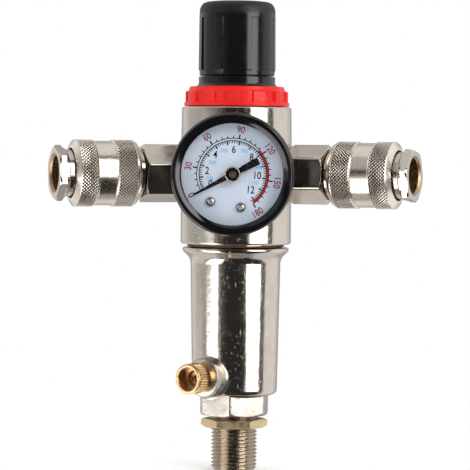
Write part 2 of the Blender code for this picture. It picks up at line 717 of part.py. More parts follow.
# Filter stack
filter_element = lathe(
    "filter_element",
    [
        (FILTER_BORE_R, FILTER_Z0),
        (FILTER_R, FILTER_Z0),
        (FILTER_R, HOLDER_LEDGE_Z - GAP),
        (FILTER_BORE_R, HOLDER_LEDGE_Z - GAP),
    ],
    BRONZE,
    around=14,
)
filter_retainer = lathe(
    "filter_retainer",
    [
        (BOLT_R + GAP, FILTER_Z0 - 3.0 * MM),
        (FILTER_R + 0.3 * MM, FILTER_Z0 - 3.0 * MM),
        (FILTER_R + 0.3 * MM, FILTER_Z0 - GAP),
        (FILTER_BORE_R - GAP, FILTER_Z0 - GAP),
        (FILTER_BORE_R - 0.6 * MM, FILTER_Z0 + 1.7 * MM),
        (BOLT_R + GAP, FILTER_Z0 + 1.7 * MM),
    ],
    BLACK,
    around=14,
)
deflector = lathe(
    "deflector",
    [
        (BOLT_R + GAP, FILTER_Z0 - 5.5 * MM),
        (BOWL_CAVITY_R - 5.0 * MM, FILTER_Z0 - 5.5 * MM),
        (BOWL_CAVITY_R - 1.7 * MM, FILTER_Z0 - 9.1 * MM),
        (BOWL_CAVITY_R - 0.9 * MM, FILTER_Z0 - 9.1 * MM),
        (BOWL_CAVITY_R - 0.9 * MM, FILTER_Z0 - 7.3 * MM),
        (BOWL_CAVITY_R - 4.2 * MM, FILTER_Z0 - 3.3 * MM),
        (BOLT_R + GAP, FILTER_Z0 - 3.3 * MM),
    ],
    BLACK,
    around=14,
)
filter_bolt = lathe(
    "filter_bolt",
    [
        (0.0, FILTER_Z0 - 8.3 * MM),
        (4.2 * MM, FILTER_Z0 - 8.3 * MM),
        (4.6 * MM, FILTER_Z0 - 7.9 * MM),
        (4.6 * MM, FILTER_Z0 - 5.5 * MM - GAP),
        (BOLT_R, FILTER_Z0 - 5.5 * MM - GAP),
        (BOLT_R, HOLDER_CUP_Z0 + 2.6 * MM),
        (BOLT_R - 0.5 * MM, HOLDER_CUP_Z0 + 3.1 * MM),
        (0.0, HOLDER_CUP_Z0 + 3.1 * MM),
    ],
    BRASS,
    around=SMALL_FACETS,
)

# Bowl: tapered shell with a spigot, a flange, a drain boss and a hex boss
bowl_inner = [
    (NIPPLE_R + GAP, BOWL_FOOT_Z - 1.0 * MM),
    (NIPPLE_R + GAP, BOWL_FLOOR_Z),
    (BOWL_CAVITY_R - 1.0 * MM, BOWL_FLOOR_Z),
    (BOWL_CAVITY_R, BOWL_FLOOR_Z + 1.0 * MM),
    (BOWL_CAVITY_R, BOWL_TOP),
]
bowl_outer = [
    (SPIGOT_R - 0.5 * MM, BOWL_TOP),
    (SPIGOT_R, BOWL_TOP - 0.5 * MM),
    (SPIGOT_R, FLANGE_TOP),
    (FLANGE_R - 0.3 * MM, FLANGE_TOP),
    (FLANGE_R, FLANGE_TOP - 0.4 * MM),
    (FLANGE_R - 0.1 * MM, FLANGE_TOP - 1.3 * MM),
    (FLANGE_R - 0.7 * MM, FLANGE_TOP - 1.9 * MM),
    (FLANGE_R - 1.7 * MM, FLANGE_TOP - 2.9 * MM),
    (BOWL_R_TOP + 0.55 * MM, FLANGE_TOP - 3.9 * MM),
    (BOWL_R_TOP, BOWL_TAPER_Z),
    (BOWL_R_BOTTOM, BOWL_FOOT_Z + 1.4 * MM),
    (BOWL_R_BOTTOM - 0.35 * MM, BOWL_FOOT_Z + 0.5 * MM),
    (BOWL_R_BOTTOM - 1.3 * MM, BOWL_FOOT_Z),
    (BOSS_AF / 2.0 - 0.5 * MM, BOWL_FOOT_Z - 1.0 * MM),
]
bowl = lathe("bowl", bowl_inner + bowl_outer, NICKEL)
hex_boss = prism("hex_boss", hexagon(BOSS_AF, -90.0 + BOSS_TURN_DEG), BOSS_Z0, BOWL_FOOT_Z + 0.6 * MM, helper=True)
hex_trim = lathe(
    "hex_trim",
    [
        (0.0, BOSS_Z0 - 1.0 * MM),
        (BOSS_AF / 2.0 + 1.0 * MM, BOSS_Z0 - 0.01 * MM),
        (BOSS_AF / 2.0 + 1.5 * MM, BOSS_Z0 + 0.6 * MM),
        (BOSS_AF / 2.0 + 1.5 * MM, BOWL_FOOT_Z + 0.8 * MM),
        (0.0, BOWL_FOOT_Z + 0.8 * MM),
    ],
    helper=True,
)
keep(hex_boss, hex_trim)
add(bowl, hex_boss)
drain_way = along(DRAIN_SWING_DEG, DRAIN_Z)
drain_boss = lathe(
    "drain_boss",
    [
        (0.0, BOWL_R_BOTTOM - 1.3 * MM),
        (DRAIN_BOSS_R + 1.2 * MM, BOWL_R_BOTTOM - 1.3 * MM),
        (DRAIN_BOSS_R + 1.0 * MM, DRAIN_SEAT_S),
        (DRAIN_BOSS_R + 0.2 * MM, DRAIN_FACE_S - 3.3 * MM),
        (DRAIN_BOSS_R, DRAIN_FACE_S - 2.3 * MM),
        (DRAIN_BOSS_R, DRAIN_FACE_S - 0.4 * MM),
        (DRAIN_BOSS_R - 0.4 * MM, DRAIN_FACE_S),
        (0.0, DRAIN_FACE_S),
    ],
    matrix=drain_way,
    around=14,
    helper=True,
)
add(bowl, drain_boss)
cut(bowl, rod("nipple_bore_cutter", NIPPLE_R + GAP, BOSS_Z0 - 9.8 * MM, BOWL_FLOOR_Z + 0.5 * MM, around=ROUND_FACETS))
cut(bowl, rod("bowl_cavity_cutter", BOWL_CAVITY_R, BOWL_FLOOR_Z + 1.0 * MM, BOWL_FLOOR_Z + 29.0 * MM, around=ROUND_FACETS))
drain_bore = lathe(
    "drain_bore_cutter",
    [
        (0.0, 10.0 * MM),
        (2.0 * MM, 10.0 * MM),
        (2.0 * MM, DRAIN_SEAT_S),
        (DRAIN_SHANK_R + GAP, DRAIN_SEAT_S),
        (DRAIN_SHANK_R + GAP, DRAIN_FACE_S + 2.5 * MM),
        (0.0, DRAIN_FACE_S + 2.5 * MM),
    ],
    matrix=drain_way,
    around=SMALL_FACETS,
    helper=True,
)
cut(bowl, drain_bore)

bowl_seal = lathe(
    "bowl_seal",
    [
        (SPIGOT_R + GAP, FLANGE_TOP + GAP),
        (SPIGOT_R + 1.2 * MM, FLANGE_TOP + GAP),
        (SPIGOT_R + 1.2 * MM, BODY_BOTTOM - GAP),
        (SPIGOT_R + GAP, BODY_BOTTOM - GAP),
    ],
    BROWN,
)

inlet_nipple = lathe(
    "inlet_nipple",
    [
        (NIPPLE_BORE_R, 0.0),
        (NIPPLE_R - 1.0 * MM, 0.0),
        (NIPPLE_R, 1.0 * MM),
        (NIPPLE_R, NIPPLE_TOP - 0.6 * MM),
        (NIPPLE_R - 0.6 * MM, NIPPLE_TOP),
        (RISER_R, NIPPLE_TOP),
        (RISER_R, RISER_TOP),
        (NIPPLE_BORE_R, RISER_TOP),
    ],
    NICKEL,
    around=14,
)
jam_nut = prism("jam_nut", hexagon(NUT_AF), NUT_Z0, NUT_Z1, PALE_BRASS)
nut_trim = lathe(
    "nut_trim",
    [
        (0.0, NUT_Z0 - 0.1 * MM),
        (NUT_AF / 2.0 + 0.45 * MM, NUT_Z0 - 0.1 * MM),
        (NUT_AF / math.sqrt(3.0) + 0.23 * MM, NUT_Z0 + 0.8 * MM),
        (NUT_AF / math.sqrt(3.0) + 0.23 * MM, NUT_Z1 - 0.5 * MM),
        (NUT_AF / 2.0 + 0.45 * MM, NUT_Z1 + 0.1 * MM),
        (0.0, NUT_Z1 + 0.1 * MM),
    ],
    helper=True,
)
keep(jam_nut, nut_trim)
cut(jam_nut, rod("nut_bore_cutter", NIPPLE_R + GAP, NUT_Z0 - 4.3 * MM, NUT_Z1 + 2.7 * MM, around=14))

# Drain valve and the washer on its tip
drain_seal = lathe(
    "drain_seal",
    [
        (0.8 * MM, DRAIN_SEAT_S + GAP),
        (DRAIN_SHANK_R - 0.2 * MM, DRAIN_SEAT_S + GAP),
        (DRAIN_SHANK_R - 0.2 * MM, DRAIN_SEAT_S + 1.3 * MM),
        (0.8 * MM, DRAIN_SEAT_S + 1.3 * MM),
    ],
    RUBBER,
    drain_way,
    SMALL_FACETS,
)
drain_valve = lathe(
    "drain_valve",
    [
        (0.0, DRAIN_SEAT_S + 1.6 * MM),
        (DRAIN_SHANK_R, DRAIN_SEAT_S + 1.6 * MM),
        (DRAIN_SHANK_R, DRAIN_FACE_S + GAP),
        (DRAIN_SHANK_R + 0.2 * MM, DRAIN_FACE_S + GAP),
        (DRAIN_HEAD_R - 0.5 * MM, DRAIN_FACE_S + 2.7 * MM),
        (DRAIN_HEAD_R, DRAIN_FACE_S + 3.1 * MM),
        (DRAIN_HEAD_R, DRAIN_END_S - 1.0 * MM),
        (DRAIN_HEAD_R - 0.3 * MM, DRAIN_END_S - 0.8 * MM),
        (DRAIN_HEAD_R - 0.3 * MM, DRAIN_END_S - 0.3 * MM),
        (DRAIN_HEAD_R - 0.6 * MM, DRAIN_END_S),
        (DRAIN_HEAD_R - 1.35 * MM, DRAIN_END_S),
        (DRAIN_HEAD_R - 1.35 * MM, DRAIN_END_S - 3.6 * MM),
        (2.6 * MM, DRAIN_END_S - 3.6 * MM),
        (2.6 * MM, DRAIN_END_S - 5.7 * MM),
        (1.5 * MM, DRAIN_END_S - 6.1 * MM),
        (1.5 * MM, DRAIN_SEAT_S + 2.8 * MM),
        (0.0, DRAIN_SEAT_S + 2.6 * MM),
    ],
    BRASS,
    drain_way,
    16,
)
cross = drain_way @ Matrix.Translation((0.0, 0.0, DRAIN_FACE_S - 0.5 * MM)) @ Matrix.Rotation(math.radians(90.0), 4, "X")
cut(drain_valve, rod("drain_cross_cutter", 0.7 * MM, -5.0 * MM, 5.0 * MM, cross, 12))

# Gauge shell, bezel, lens and dial. FRONT runs outwards, so heights here are distances from the body axis.
gauge_case = lathe(
    "gauge_case",
    [
        (GAUGE_PORT_R, CASE_BACK_Y),
        (CASE_R - 1.5 * MM, CASE_BACK_Y),
        (CASE_R, CASE_BACK_Y + 1.5 * MM),
        (CASE_R, CASE_RIM_Y),
        (CASE_R - CASE_WALL, CASE_RIM_Y),
        (CASE_R - CASE_WALL, CASE_BACK_Y + CASE_WALL + 0.6 * MM),
        (CASE_R - CASE_WALL - 1.0 * MM, CASE_BACK_Y + CASE_WALL),
        (GAUGE_PORT_R, CASE_BACK_Y + CASE_WALL),
    ],
    BLACK,
    FRONT,
)
gauge_bezel = lathe(
    "gauge_bezel",
    [
        (CASE_R + GAP, CASE_RIM_Y - 3.5 * MM),
        (BEZEL_R - 0.6 * MM, CASE_RIM_Y - 3.5 * MM),
        (BEZEL_R - 0.6 * MM, CASE_RIM_Y - 1.4 * MM),
        (BEZEL_R, CASE_RIM_Y - 1.0 * MM),
        (BEZEL_R, BEZEL_FRONT_Y - 0.9 * MM),
        (BEZEL_R - 0.8 * MM, BEZEL_FRONT_Y),
        (BEZEL_R - 1.9 * MM, BEZEL_FRONT_Y),
        (BEZEL_OPENING_R, LENS_Y + LENS_THICK + GAP),
        (CASE_R + GAP, LENS_Y + LENS_THICK + GAP),
    ],
    BLACK,
    FRONT,
)
gauge_lens = lathe(
    "gauge_lens",
    [
        (0.0, LENS_Y),
        (CASE_R - 0.1 * MM, LENS_Y),
        (CASE_R - 0.1 * MM, LENS_Y + LENS_THICK),
        (0.0, LENS_Y + LENS_THICK),
    ],
    CLEAR,
    FRONT,
)
gauge_dial = lathe(
    "gauge_dial",
    [
        (1.2 * MM, DIAL_Y),
        (DIAL_R, DIAL_Y),
        (DIAL_R, DIAL_Y + DIAL_THICK),
        (1.2 * MM, DIAL_Y + DIAL_THICK),
    ],
    WHITE,
    FRONT,
)


def on_face(x, z):
    """Frame on the gauge's face, with x to the right and z up as seen from the front."""
    return FRONT @ Matrix.Translation((x, z, 0.0))


for side, (x, z) in DIAL_SCREWS.items():
    place = on_face(x, z)
    cut(gauge_dial, rod(f"dial_{side}_hole_cutter", 0.9 * MM, DIAL_Y - 1.0 * MM, DIAL_Y + 1.0 * MM, place, 12))
    lathe(
        f"dial_screw_{side}",
        [
            (0.0, DIAL_Y - 3.0 * MM),
            (0.6 * MM, DIAL_Y - 3.0 * MM),
            (0.6 * MM, DIAL_Y + DIAL_THICK + GAP),
            (1.6 * MM, DIAL_Y + DIAL_THICK + GAP),
            (1.4 * MM, DIAL_Y + DIAL_THICK + 0.7 * MM),
            (0.8 * MM, DIAL_Y + DIAL_THICK + 1.1 * MM),
            (0.0, DIAL_Y + DIAL_THICK + 1.2 * MM),
        ],
        STEEL,
        place,
        10,
    )

# Gauge socket: threaded shank, hexagon, neck through the case and the bar that carries the tube
gauge_socket = lathe(
    "gauge_socket",
    [
        (1.4 * MM, PORT_FACE_S - 8.0 * MM),
        (GAUGE_PORT_R - GAP, PORT_FACE_S - 8.0 * MM),
        (GAUGE_PORT_R - GAP, PORT_FACE_S + GAP),
        (GAUGE_BOSS_R, PORT_FACE_S + GAP),
        (GAUGE_BOSS_R, CASE_BACK_Y - GAP),
        (GAUGE_PORT_R - GAP, CASE_BACK_Y - GAP),
        (GAUGE_PORT_R - GAP, BAR_Y0 + 0.4 * MM),
        (1.4 * MM, BAR_Y0 + 0.4 * MM),
    ],
    BRASS,
    FRONT,
    14,
)
bar_outline = rectangle(-4.4 * MM, 4.4 * MM, -TUBE_MEAN_R - 1.2 * MM, 4.4 * MM)
socket_bar = prism("socket_bar", bar_outline, BAR_Y0, BAR_Y0 + BAR_THICK, matrix=FRONT, helper=True)
add(gauge_socket, socket_bar)

tube_points = []
tube_ups = []
for step in range(21):
    angle = math.radians(TUBE_START_DEG + TUBE_SWEEP_DEG * step / 20)
    tube_points.append(Vector((TUBE_MEAN_R * math.cos(angle), TUBE_MEAN_R * math.sin(angle), TUBE_MID)))
    tube_ups.append(Vector((0.0, 0.0, 1.0)))
tube_shape = [
    (0.7 * MM, -(TUBE_HALF - 0.5 * MM)),
    (0.7 * MM, TUBE_HALF - 0.5 * MM),
    (0.0, TUBE_HALF),
    (-0.7 * MM, TUBE_HALF - 0.5 * MM),
    (-0.7 * MM, -(TUBE_HALF - 0.5 * MM)),
    (0.0, -TUBE_HALF),
]
bourdon_tube = tube_along("bourdon_tube", tube_points, tube_ups, tube_shape, BRASS, FRONT)
tip_angle = math.radians(TUBE_START_DEG + TUBE_SWEEP_DEG)
tip = Vector((TUBE_MEAN_R * math.cos(tip_angle), TUBE_MEAN_R * math.sin(tip_angle)))
onwards = Vector((math.sin(tip_angle), -math.cos(tip_angle)))
tip_frame = FRONT @ Matrix.Translation((tip.x, tip.y, 0.0))
tip_frame = tip_frame @ Matrix.Rotation(math.atan2(onwards.y, onwards.x), 4, "Z")
lug = prism("tip_lug", rectangle(-1.2 * MM, 4.0 * MM, -1.1 * MM, 1.1 * MM), TUBE_MID - 0.3 * MM, TUBE_MID + 0.9 * MM, matrix=tip_frame, helper=True)
add(bourdon_tube, lug)
link_end = tip + onwards * (2.8 * MM)
cut(bourdon_tube, rod("tip_hole_cutter", 0.8 * MM, TUBE_MID - 1.5 * MM, TUBE_MID + 2.5 * MM, on_face(link_end.x, link_end.y), 10))

lower_y = TUBE_MID - 2.3 * MM
upper_y = TUBE_MID + 2.7 * MM
movement_frame = prism("movement_frame", MOVEMENT_OUTLINE, lower_y, lower_y + 0.8 * MM, BRASS, FRONT)
upper_plate = prism("upper_plate", MOVEMENT_OUTLINE, upper_y, upper_y + 0.8 * MM, matrix=FRONT, helper=True)
add(movement_frame, upper_plate)
for index, (x, z) in enumerate([(-7.2, -5.4), (-6.8, 1.6)]):
    place = on_face(x * MM, z * MM)
    add(movement_frame, rod(f"frame_post_{index}", 1.0 * MM, lower_y + 0.4 * MM, upper_y + 0.4 * MM, place, 8))
cut(movement_frame, rod("arbor_hole_cutter", ARBOR_R + GAP, lower_y - 1.2 * MM, upper_y + 1.8 * MM, FRONT, 10))
sector_place = on_face(*SECTOR_PIVOT)
cut(movement_frame, rod("sector_hole_cutter", ARBOR_R + GAP, lower_y - 1.2 * MM, upper_y + 1.8 * MM, sector_place, 10))
for side, (x, z) in DIAL_SCREWS.items():
    cut(movement_frame, rod(f"frame_{side}_hole_cutter", 0.9 * MM, upper_y - 1.2 * MM, upper_y + 1.8 * MM, on_face(x, z), 8))

needle_turn = FRONT @ Matrix.Rotation(math.radians(NEEDLE_REST_DEG), 4, "Z")
gauge_needle = lathe(
    "gauge_needle",
    [
        (ARBOR_R + GAP, NEEDLE_Y - 0.4 * MM),
        (2.6 * MM, NEEDLE_Y - 0.4 * MM),
        (2.6 * MM, NEEDLE_Y + 0.9 * MM),
        (2.0 * MM, NEEDLE_Y + 1.3 * MM),
        (ARBOR_R + GAP, NEEDLE_Y + 1.3 * MM),
    ],
    BLACK,
    needle_turn,
    SMALL_FACETS,
)
blade_outline = [
    (-NEEDLE_TAIL, -1.15 * MM),
    (-NEEDLE_TAIL + 4.4 * MM, -1.15 * MM),
    (-NEEDLE_TAIL + 4.6 * MM, -0.6 * MM),
    (3.0 * MM, -0.6 * MM),
    (NEEDLE_TIP, -0.12 * MM),
    (NEEDLE_TIP, 0.12 * MM),
    (3.0 * MM, 0.6 * MM),
    (-NEEDLE_TAIL + 4.6 * MM, 0.6 * MM),
    (-NEEDLE_TAIL + 4.4 * MM, 1.15 * MM),
    (-NEEDLE_TAIL, 1.15 * MM),
]
blade = prism("needle_blade", blade_outline, NEEDLE_Y, NEEDLE_Y + 0.4 * MM, matrix=needle_turn, helper=True)
add(gauge_needle, blade)
cut(gauge_needle, rod("needle_bore_cutter", ARBOR_R + GAP, NEEDLE_Y - 3.2 * MM, NEEDLE_Y + 1.8 * MM, FRONT, 16))

pinion_arbor = lathe(
    "pinion_arbor",
    [
        (0.0, TUBE_MID - 2.2 * MM),
        (ARBOR_R, TUBE_MID - 2.2 * MM),
        (ARBOR_R, TUBE_MID - 0.3 * MM),
        (PINION_R, TUBE_MID - 0.3 * MM),
        (PINION_R, TUBE_MID + 1.5 * MM),
        (ARBOR_R, TUBE_MID + 1.5 * MM),
        (ARBOR_R, NEEDLE_Y + 1.2 * MM),
        (0.0, NEEDLE_Y + 1.2 * MM),
    ],
    BRASS,
    FRONT,
    10,
)

# Sector gear: a hub on its own arbor, a fan that reaches the pinion, and a tail for the link
sector_gear = lathe(
    "sector_gear",
    [
        (0.0, TUBE_MID - 2.2 * MM),
        (ARBOR_R, TUBE_MID - 2.2 * MM),
        (ARBOR_R, TUBE_MID - 1.1 * MM),
        (1.8 * MM, TUBE_MID - 1.1 * MM),
        (1.8 * MM, TUBE_MID + 2.1 * MM),
        (ARBOR_R, TUBE_MID + 2.1 * MM),
        (ARBOR_R, TUBE_MID + 3.4 * MM),
        (0.0, TUBE_MID + 3.4 * MM),
    ],
    BRASS,
    sector_place,
    10,
)
pivot_x, pivot_z = SECTOR_PIVOT
to_pinion = math.atan2(-pivot_z, -pivot_x)
fan = [(0.0, 0.0)]
for step in range(13):
    angle = to_pinion + math.radians(5.0 - (SECTOR_SWING_DEG + 10.0) * step / 12)
    fan.append((SECTOR_R * math.cos(angle), SECTOR_R * math.sin(angle)))
fan_plate = prism("sector_fan", fan, TUBE_MID, TUBE_MID + 1.1 * MM, matrix=sector_place, helper=True)
add(sector_gear, fan_plate)
tail_turn = sector_place @ Matrix.Rotation(math.radians(TAIL_REST_DEG), 4, "Z")
tail_outline = rectangle(0.0, TAIL_ARM + 1.5 * MM, -1.3 * MM, 1.3 * MM)
add(sector_gear, prism("sector_tail", tail_outline, TUBE_MID, TUBE_MID + 1.1 * MM, matrix=tail_turn, helper=True))
tail_pin = tail_turn @ Matrix.Translation((TAIL_ARM, 0.0, 0.0))
cut(sector_gear, rod("tail_hole_cutter", 0.8 * MM, TUBE_MID - 1.0 * MM, TUBE_MID + 2.0 * MM, tail_pin, 10))

# Link: a flat bar with a pin at each end, from the sector's tail to the tube's tip
tail_rest = math.radians(TAIL_REST_DEG)
link_start = Vector((pivot_x + TAIL_ARM * math.cos(tail_rest), pivot_z + TAIL_ARM * math.sin(tail_rest)))
link_run = link_end - link_start
link_eye = [
    (0.0, TUBE_MID - 0.6 * MM),
    (0.5 * MM, TUBE_MID - 0.6 * MM),
    (0.5 * MM, TUBE_MID + 1.4 * MM),
    (1.2 * MM, TUBE_MID + 1.4 * MM),
    (1.2 * MM, TUBE_MID + 1.9 * MM),
    (0.0, TUBE_MID + 1.9 * MM),
]
tube_link = lathe("tube_link", link_eye, BRASS, on_face(link_start.x, link_start.y), 10)
far_eye = lathe("link_far_eye", link_eye, matrix=on_face(link_end.x, link_end.y), around=10, helper=True)
bar_turn = on_face(link_start.x, link_start.y) @ Matrix.Rotation(math.atan2(link_run.y, link_run.x), 4, "Z")
link_bar = prism(
    "link_bar",
    rectangle(0.3 * MM, link_run.length - 0.3 * MM, -0.65 * MM, 0.65 * MM),
    TUBE_MID + 1.45 * MM,
    TUBE_MID + 1.85 * MM,
    matrix=bar_turn,
    helper=True,
)
add(tube_link, far_eye, link_bar)

# Couplers
for side, sign in SIDES.items():
    way = along(sign * COUPLER_SWING_DEG, PORT_Z)
    flats = hexagon(ADAPTER_AF, ADAPTER_TURN_DEG[side])
    adapter = prism(f"{side}_adapter", flats, ADAPTER_S0, ADAPTER_S1, NICKEL, way)
    trim = lathe(
        f"{side}_adapter_trim",
        [
            (0.0, ADAPTER_S0 - 0.1 * MM),
            (ADAPTER_AF / 2.0 - 0.2 * MM, ADAPTER_S0 - 0.1 * MM),
            (ADAPTER_AF / math.sqrt(3.0) - 0.37 * MM, ADAPTER_S0 + 0.65 * MM),
            (ADAPTER_AF / math.sqrt(3.0) - 0.37 * MM, ADAPTER_S1 - 0.65 * MM),
            (ADAPTER_AF / 2.0 - 0.2 * MM, ADAPTER_S1 + 0.1 * MM),
            (0.0, ADAPTER_S1 + 0.1 * MM),
        ],
        matrix=way,
        helper=True,
    )
    keep(adapter, trim)
    shank = rod(f"{side}_adapter_shank", ADAPTER_THREAD_R, PORT_FACE_S - 8.5 * MM, PORT_FACE_S + 1.5 * MM, way)
    add(adapter, shank)
    socket = lathe(
        f"{side}_adapter_bore_cutter",
        [
            (0.0, PORT_FACE_S - 11.5 * MM),
            (4.0 * MM, PORT_FACE_S - 11.5 * MM),
            (4.0 * MM, BARREL_TAIL_S),
            (BARREL_THREAD_R + GAP, BARREL_TAIL_S),
            (BARREL_THREAD_R + GAP, ADAPTER_S1 + 3.6 * MM),
            (0.0, ADAPTER_S1 + 3.6 * MM),
        ],
        matrix=way,
        around=14,
        helper=True,
    )
    cut(adapter, socket)

    barrel = lathe(
        f"{side}_barrel",
        [
            (3.2 * MM, BARREL_TAIL_S + GAP),
            (BARREL_THREAD_R, BARREL_TAIL_S + GAP),
            (BARREL_THREAD_R, ADAPTER_S1 + GAP),
            (BARREL_R, ADAPTER_S1 + GAP),
            (BARREL_R, BARREL_FLANGE_S),
            (NOSE_R, BARREL_FLANGE_S),
            (NOSE_R, BARREL_FLANGE_S + 1.6 * MM),
            (BARREL_R, BARREL_FLANGE_S + 1.6 * MM),
            (BARREL_R, NOSE_S - 3.8 * MM),
            (NOSE_R + 0.25 * MM, NOSE_S - 2.5 * MM),
            (NOSE_R + 0.25 * MM, NOSE_S - 0.8 * MM),
            (NOSE_R - 0.8 * MM, NOSE_S),
            (PLUG_BORE_R + 0.8 * MM, NOSE_S),
            (PLUG_BORE_R, NOSE_S - 0.8 * MM),
            (PLUG_BORE_R, VALVE_HEAD_S + 3.0 * MM),
            (PLUG_BORE_R + 1.15 * MM, VALVE_HEAD_S + 3.0 * MM),
            (PLUG_BORE_R + 1.15 * MM, VALVE_HEAD_S),
            (PLUG_BORE_R, VALVE_HEAD_S),
            (PLUG_BORE_R, SPRING_FLOOR_S),
            (3.2 * MM, SPRING_FLOOR_S),
        ],
        NICKEL,
        way,
        16,
    )
    room = rod(f"{side}_nose_trim", NOSE_R + 2.0 * MM, BARREL_TAIL_S - 1.0 * MM, NOSE_S - 3.8 * MM, way)
    flats = hexagon(NOSE_AF, NOSE_TURN_DEG[side])
    add(room, prism(f"{side}_nose_flats", flats, NOSE_S - 3.9 * MM, NOSE_S + 1.0 * MM, matrix=way, helper=True))
    keep(barrel, room)
    for step in range(3):
        angle = math.radians(90.0 + 120.0 * step)
        spot = Vector((BALL_OUT * math.cos(angle), BALL_OUT * math.sin(angle), BALL_S))
        outwards = way @ Matrix.Translation((0.0, 0.0, BALL_S))
        outwards = outwards @ Matrix.Rotation(angle, 4, "Z") @ Matrix.Rotation(math.radians(90.0), 4, "Y")
        cut(barrel, rod(f"{side}_ball_hole_{step}_cutter", BALL_R + GAP, 4.5 * MM, 10.0 * MM, outwards, 16))
        arc = [(0.0, -BALL_R)]
        for part in range(1, 5):
            tilt = math.radians(-90.0 + 180.0 * part / 5)
            arc.append((BALL_R * math.cos(tilt), BALL_R * math.sin(tilt)))
        arc.append((0.0, BALL_R))
        lathe(f"{side}_ball_{step + 1}", arc, STEEL, way @ Matrix.Translation(spot), 10)

    sleeve = lathe(
        f"{side}_sleeve",
        [
            (SLEEVE_BORE_R, SLEEVE_S0),
            (SLEEVE_R - 0.9 * MM, SLEEVE_S0),
            (SLEEVE_R, SLEEVE_S0 + 1.3 * MM),
            (SLEEVE_R, SLEEVE_S0 + 8.6 * MM),
            (SLEEVE_MID_R, SLEEVE_S0 + 8.8 * MM),
            (SLEEVE_MID_R, SLEEVE_S1 - 7.9 * MM),
            (SLEEVE_R, SLEEVE_S1 - 7.7 * MM),
            (SLEEVE_R, SLEEVE_S1 - 1.6 * MM),
            (SLEEVE_LIP_R + 0.7 * MM, SLEEVE_S1),
            (SLEEVE_LIP_R, SLEEVE_S1),
            (SLEEVE_LIP_R, SLEEVE_S1 - 1.1 * MM),
            (SLEEVE_LIP_R + 0.9 * MM, SLEEVE_S1 - 1.1 * MM),
            (SLEEVE_LIP_R + 0.9 * MM, BALL_S + 2.4 * MM),
            (SLEEVE_LIP_R, BALL_S + 0.2 * MM),
            (SLEEVE_LIP_R, SLEEVE_SHOULDER_S),
            (SLEEVE_BORE_R, SLEEVE_SHOULDER_S),
            (SLEEVE_BORE_R, BARREL_FLANGE_S),
            (SLEEVE_BORE_R + 0.5 * MM, BARREL_FLANGE_S),
            (SLEEVE_BORE_R + 0.5 * MM, SLEEVE_S0 + 0.6 * MM),
            (SLEEVE_BORE_R, SLEEVE_S0 + 0.6 * MM),
        ],
        NICKEL,
        way,
        18,
    )
    coil(
        f"{side}_sleeve_spring",
        BARREL_R + 1.0 * MM,
        0.45 * MM,
        BARREL_FLANGE_S + 1.6 * MM + GAP,
        SLEEVE_SHOULDER_S - GAP,
        4.0,
        STEEL,
        way,
        steps=12,
        sides=4,
    )
    ring = lathe(
        f"{side}_retaining_ring",
        [
            (BARREL_R + 0.5 * MM, SLEEVE_S0 + 0.9 * MM),
            (SLEEVE_BORE_R + 0.2 * MM, SLEEVE_S0 + 0.9 * MM),
            (SLEEVE_BORE_R + 0.2 * MM, BARREL_FLANGE_S - GAP),
            (BARREL_R + 0.5 * MM, BARREL_FLANGE_S - GAP),
        ],
        STEEL,
        way,
        12,
    )
    split = prism(
        f"{side}_ring_gap_cutter",
        rectangle(-1.5 * MM, 1.5 * MM, 5.0 * MM, 13.0 * MM),
        SLEEVE_S0 - 0.6 * MM,
        SLEEVE_S0 + 3.4 * MM,
        matrix=way,
        helper=True,
    )
    cut(ring, split)
    lathe(
        f"{side}_plug_seal",
        [
            (4.7 * MM, VALVE_HEAD_S + GAP),
            (PLUG_BORE_R + 0.85 * MM, VALVE_HEAD_S + GAP),
            (PLUG_BORE_R + 0.85 * MM, VALVE_HEAD_S + 2.7 * MM),
            (4.7 * MM, VALVE_HEAD_S + 2.7 * MM),
        ],
        RUBBER,
        way,
        12,
    )
    lathe(
        f"{side}_coupler_valve",
        [
            (0.0, VALVE_HEAD_S - 10.9 * MM),
            (2.2 * MM, VALVE_HEAD_S - 10.9 * MM),
            (2.2 * MM, VALVE_HEAD_S - 3.1 * MM),
            (PLUG_BORE_R - 0.35 * MM, VALVE_HEAD_S - 3.1 * MM),
            (PLUG_BORE_R - 0.35 * MM, VALVE_HEAD_S - 0.5 * MM),
            (PLUG_BORE_R - 0.85 * MM, VALVE_HEAD_S),
            (2.6 * MM, VALVE_HEAD_S),
            (2.2 * MM, VALVE_HEAD_S - 0.7 * MM),
            (0.0, VALVE_HEAD_S - 0.9 * MM),
        ],
        BRASS,
        way,
        12,
    )
    coil(
        f"{side}_coupler_valve_spring",
        4.4 * MM,
        0.4 * MM,
        SPRING_FLOOR_S + GAP,
        VALVE_HEAD_S - 3.1 * MM - GAP,
        5.0,
        STEEL,
        way,
        steps=8,
        sides=4,
    )
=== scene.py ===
# Looks for the filter regulator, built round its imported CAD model.
# The frame is metres, +Z up, gauge towards -Y. MM turns the millimetre figures below into metres.

import json
import math

import bmesh
import bpy
import numpy as np
from mathutils import Matrix, Vector

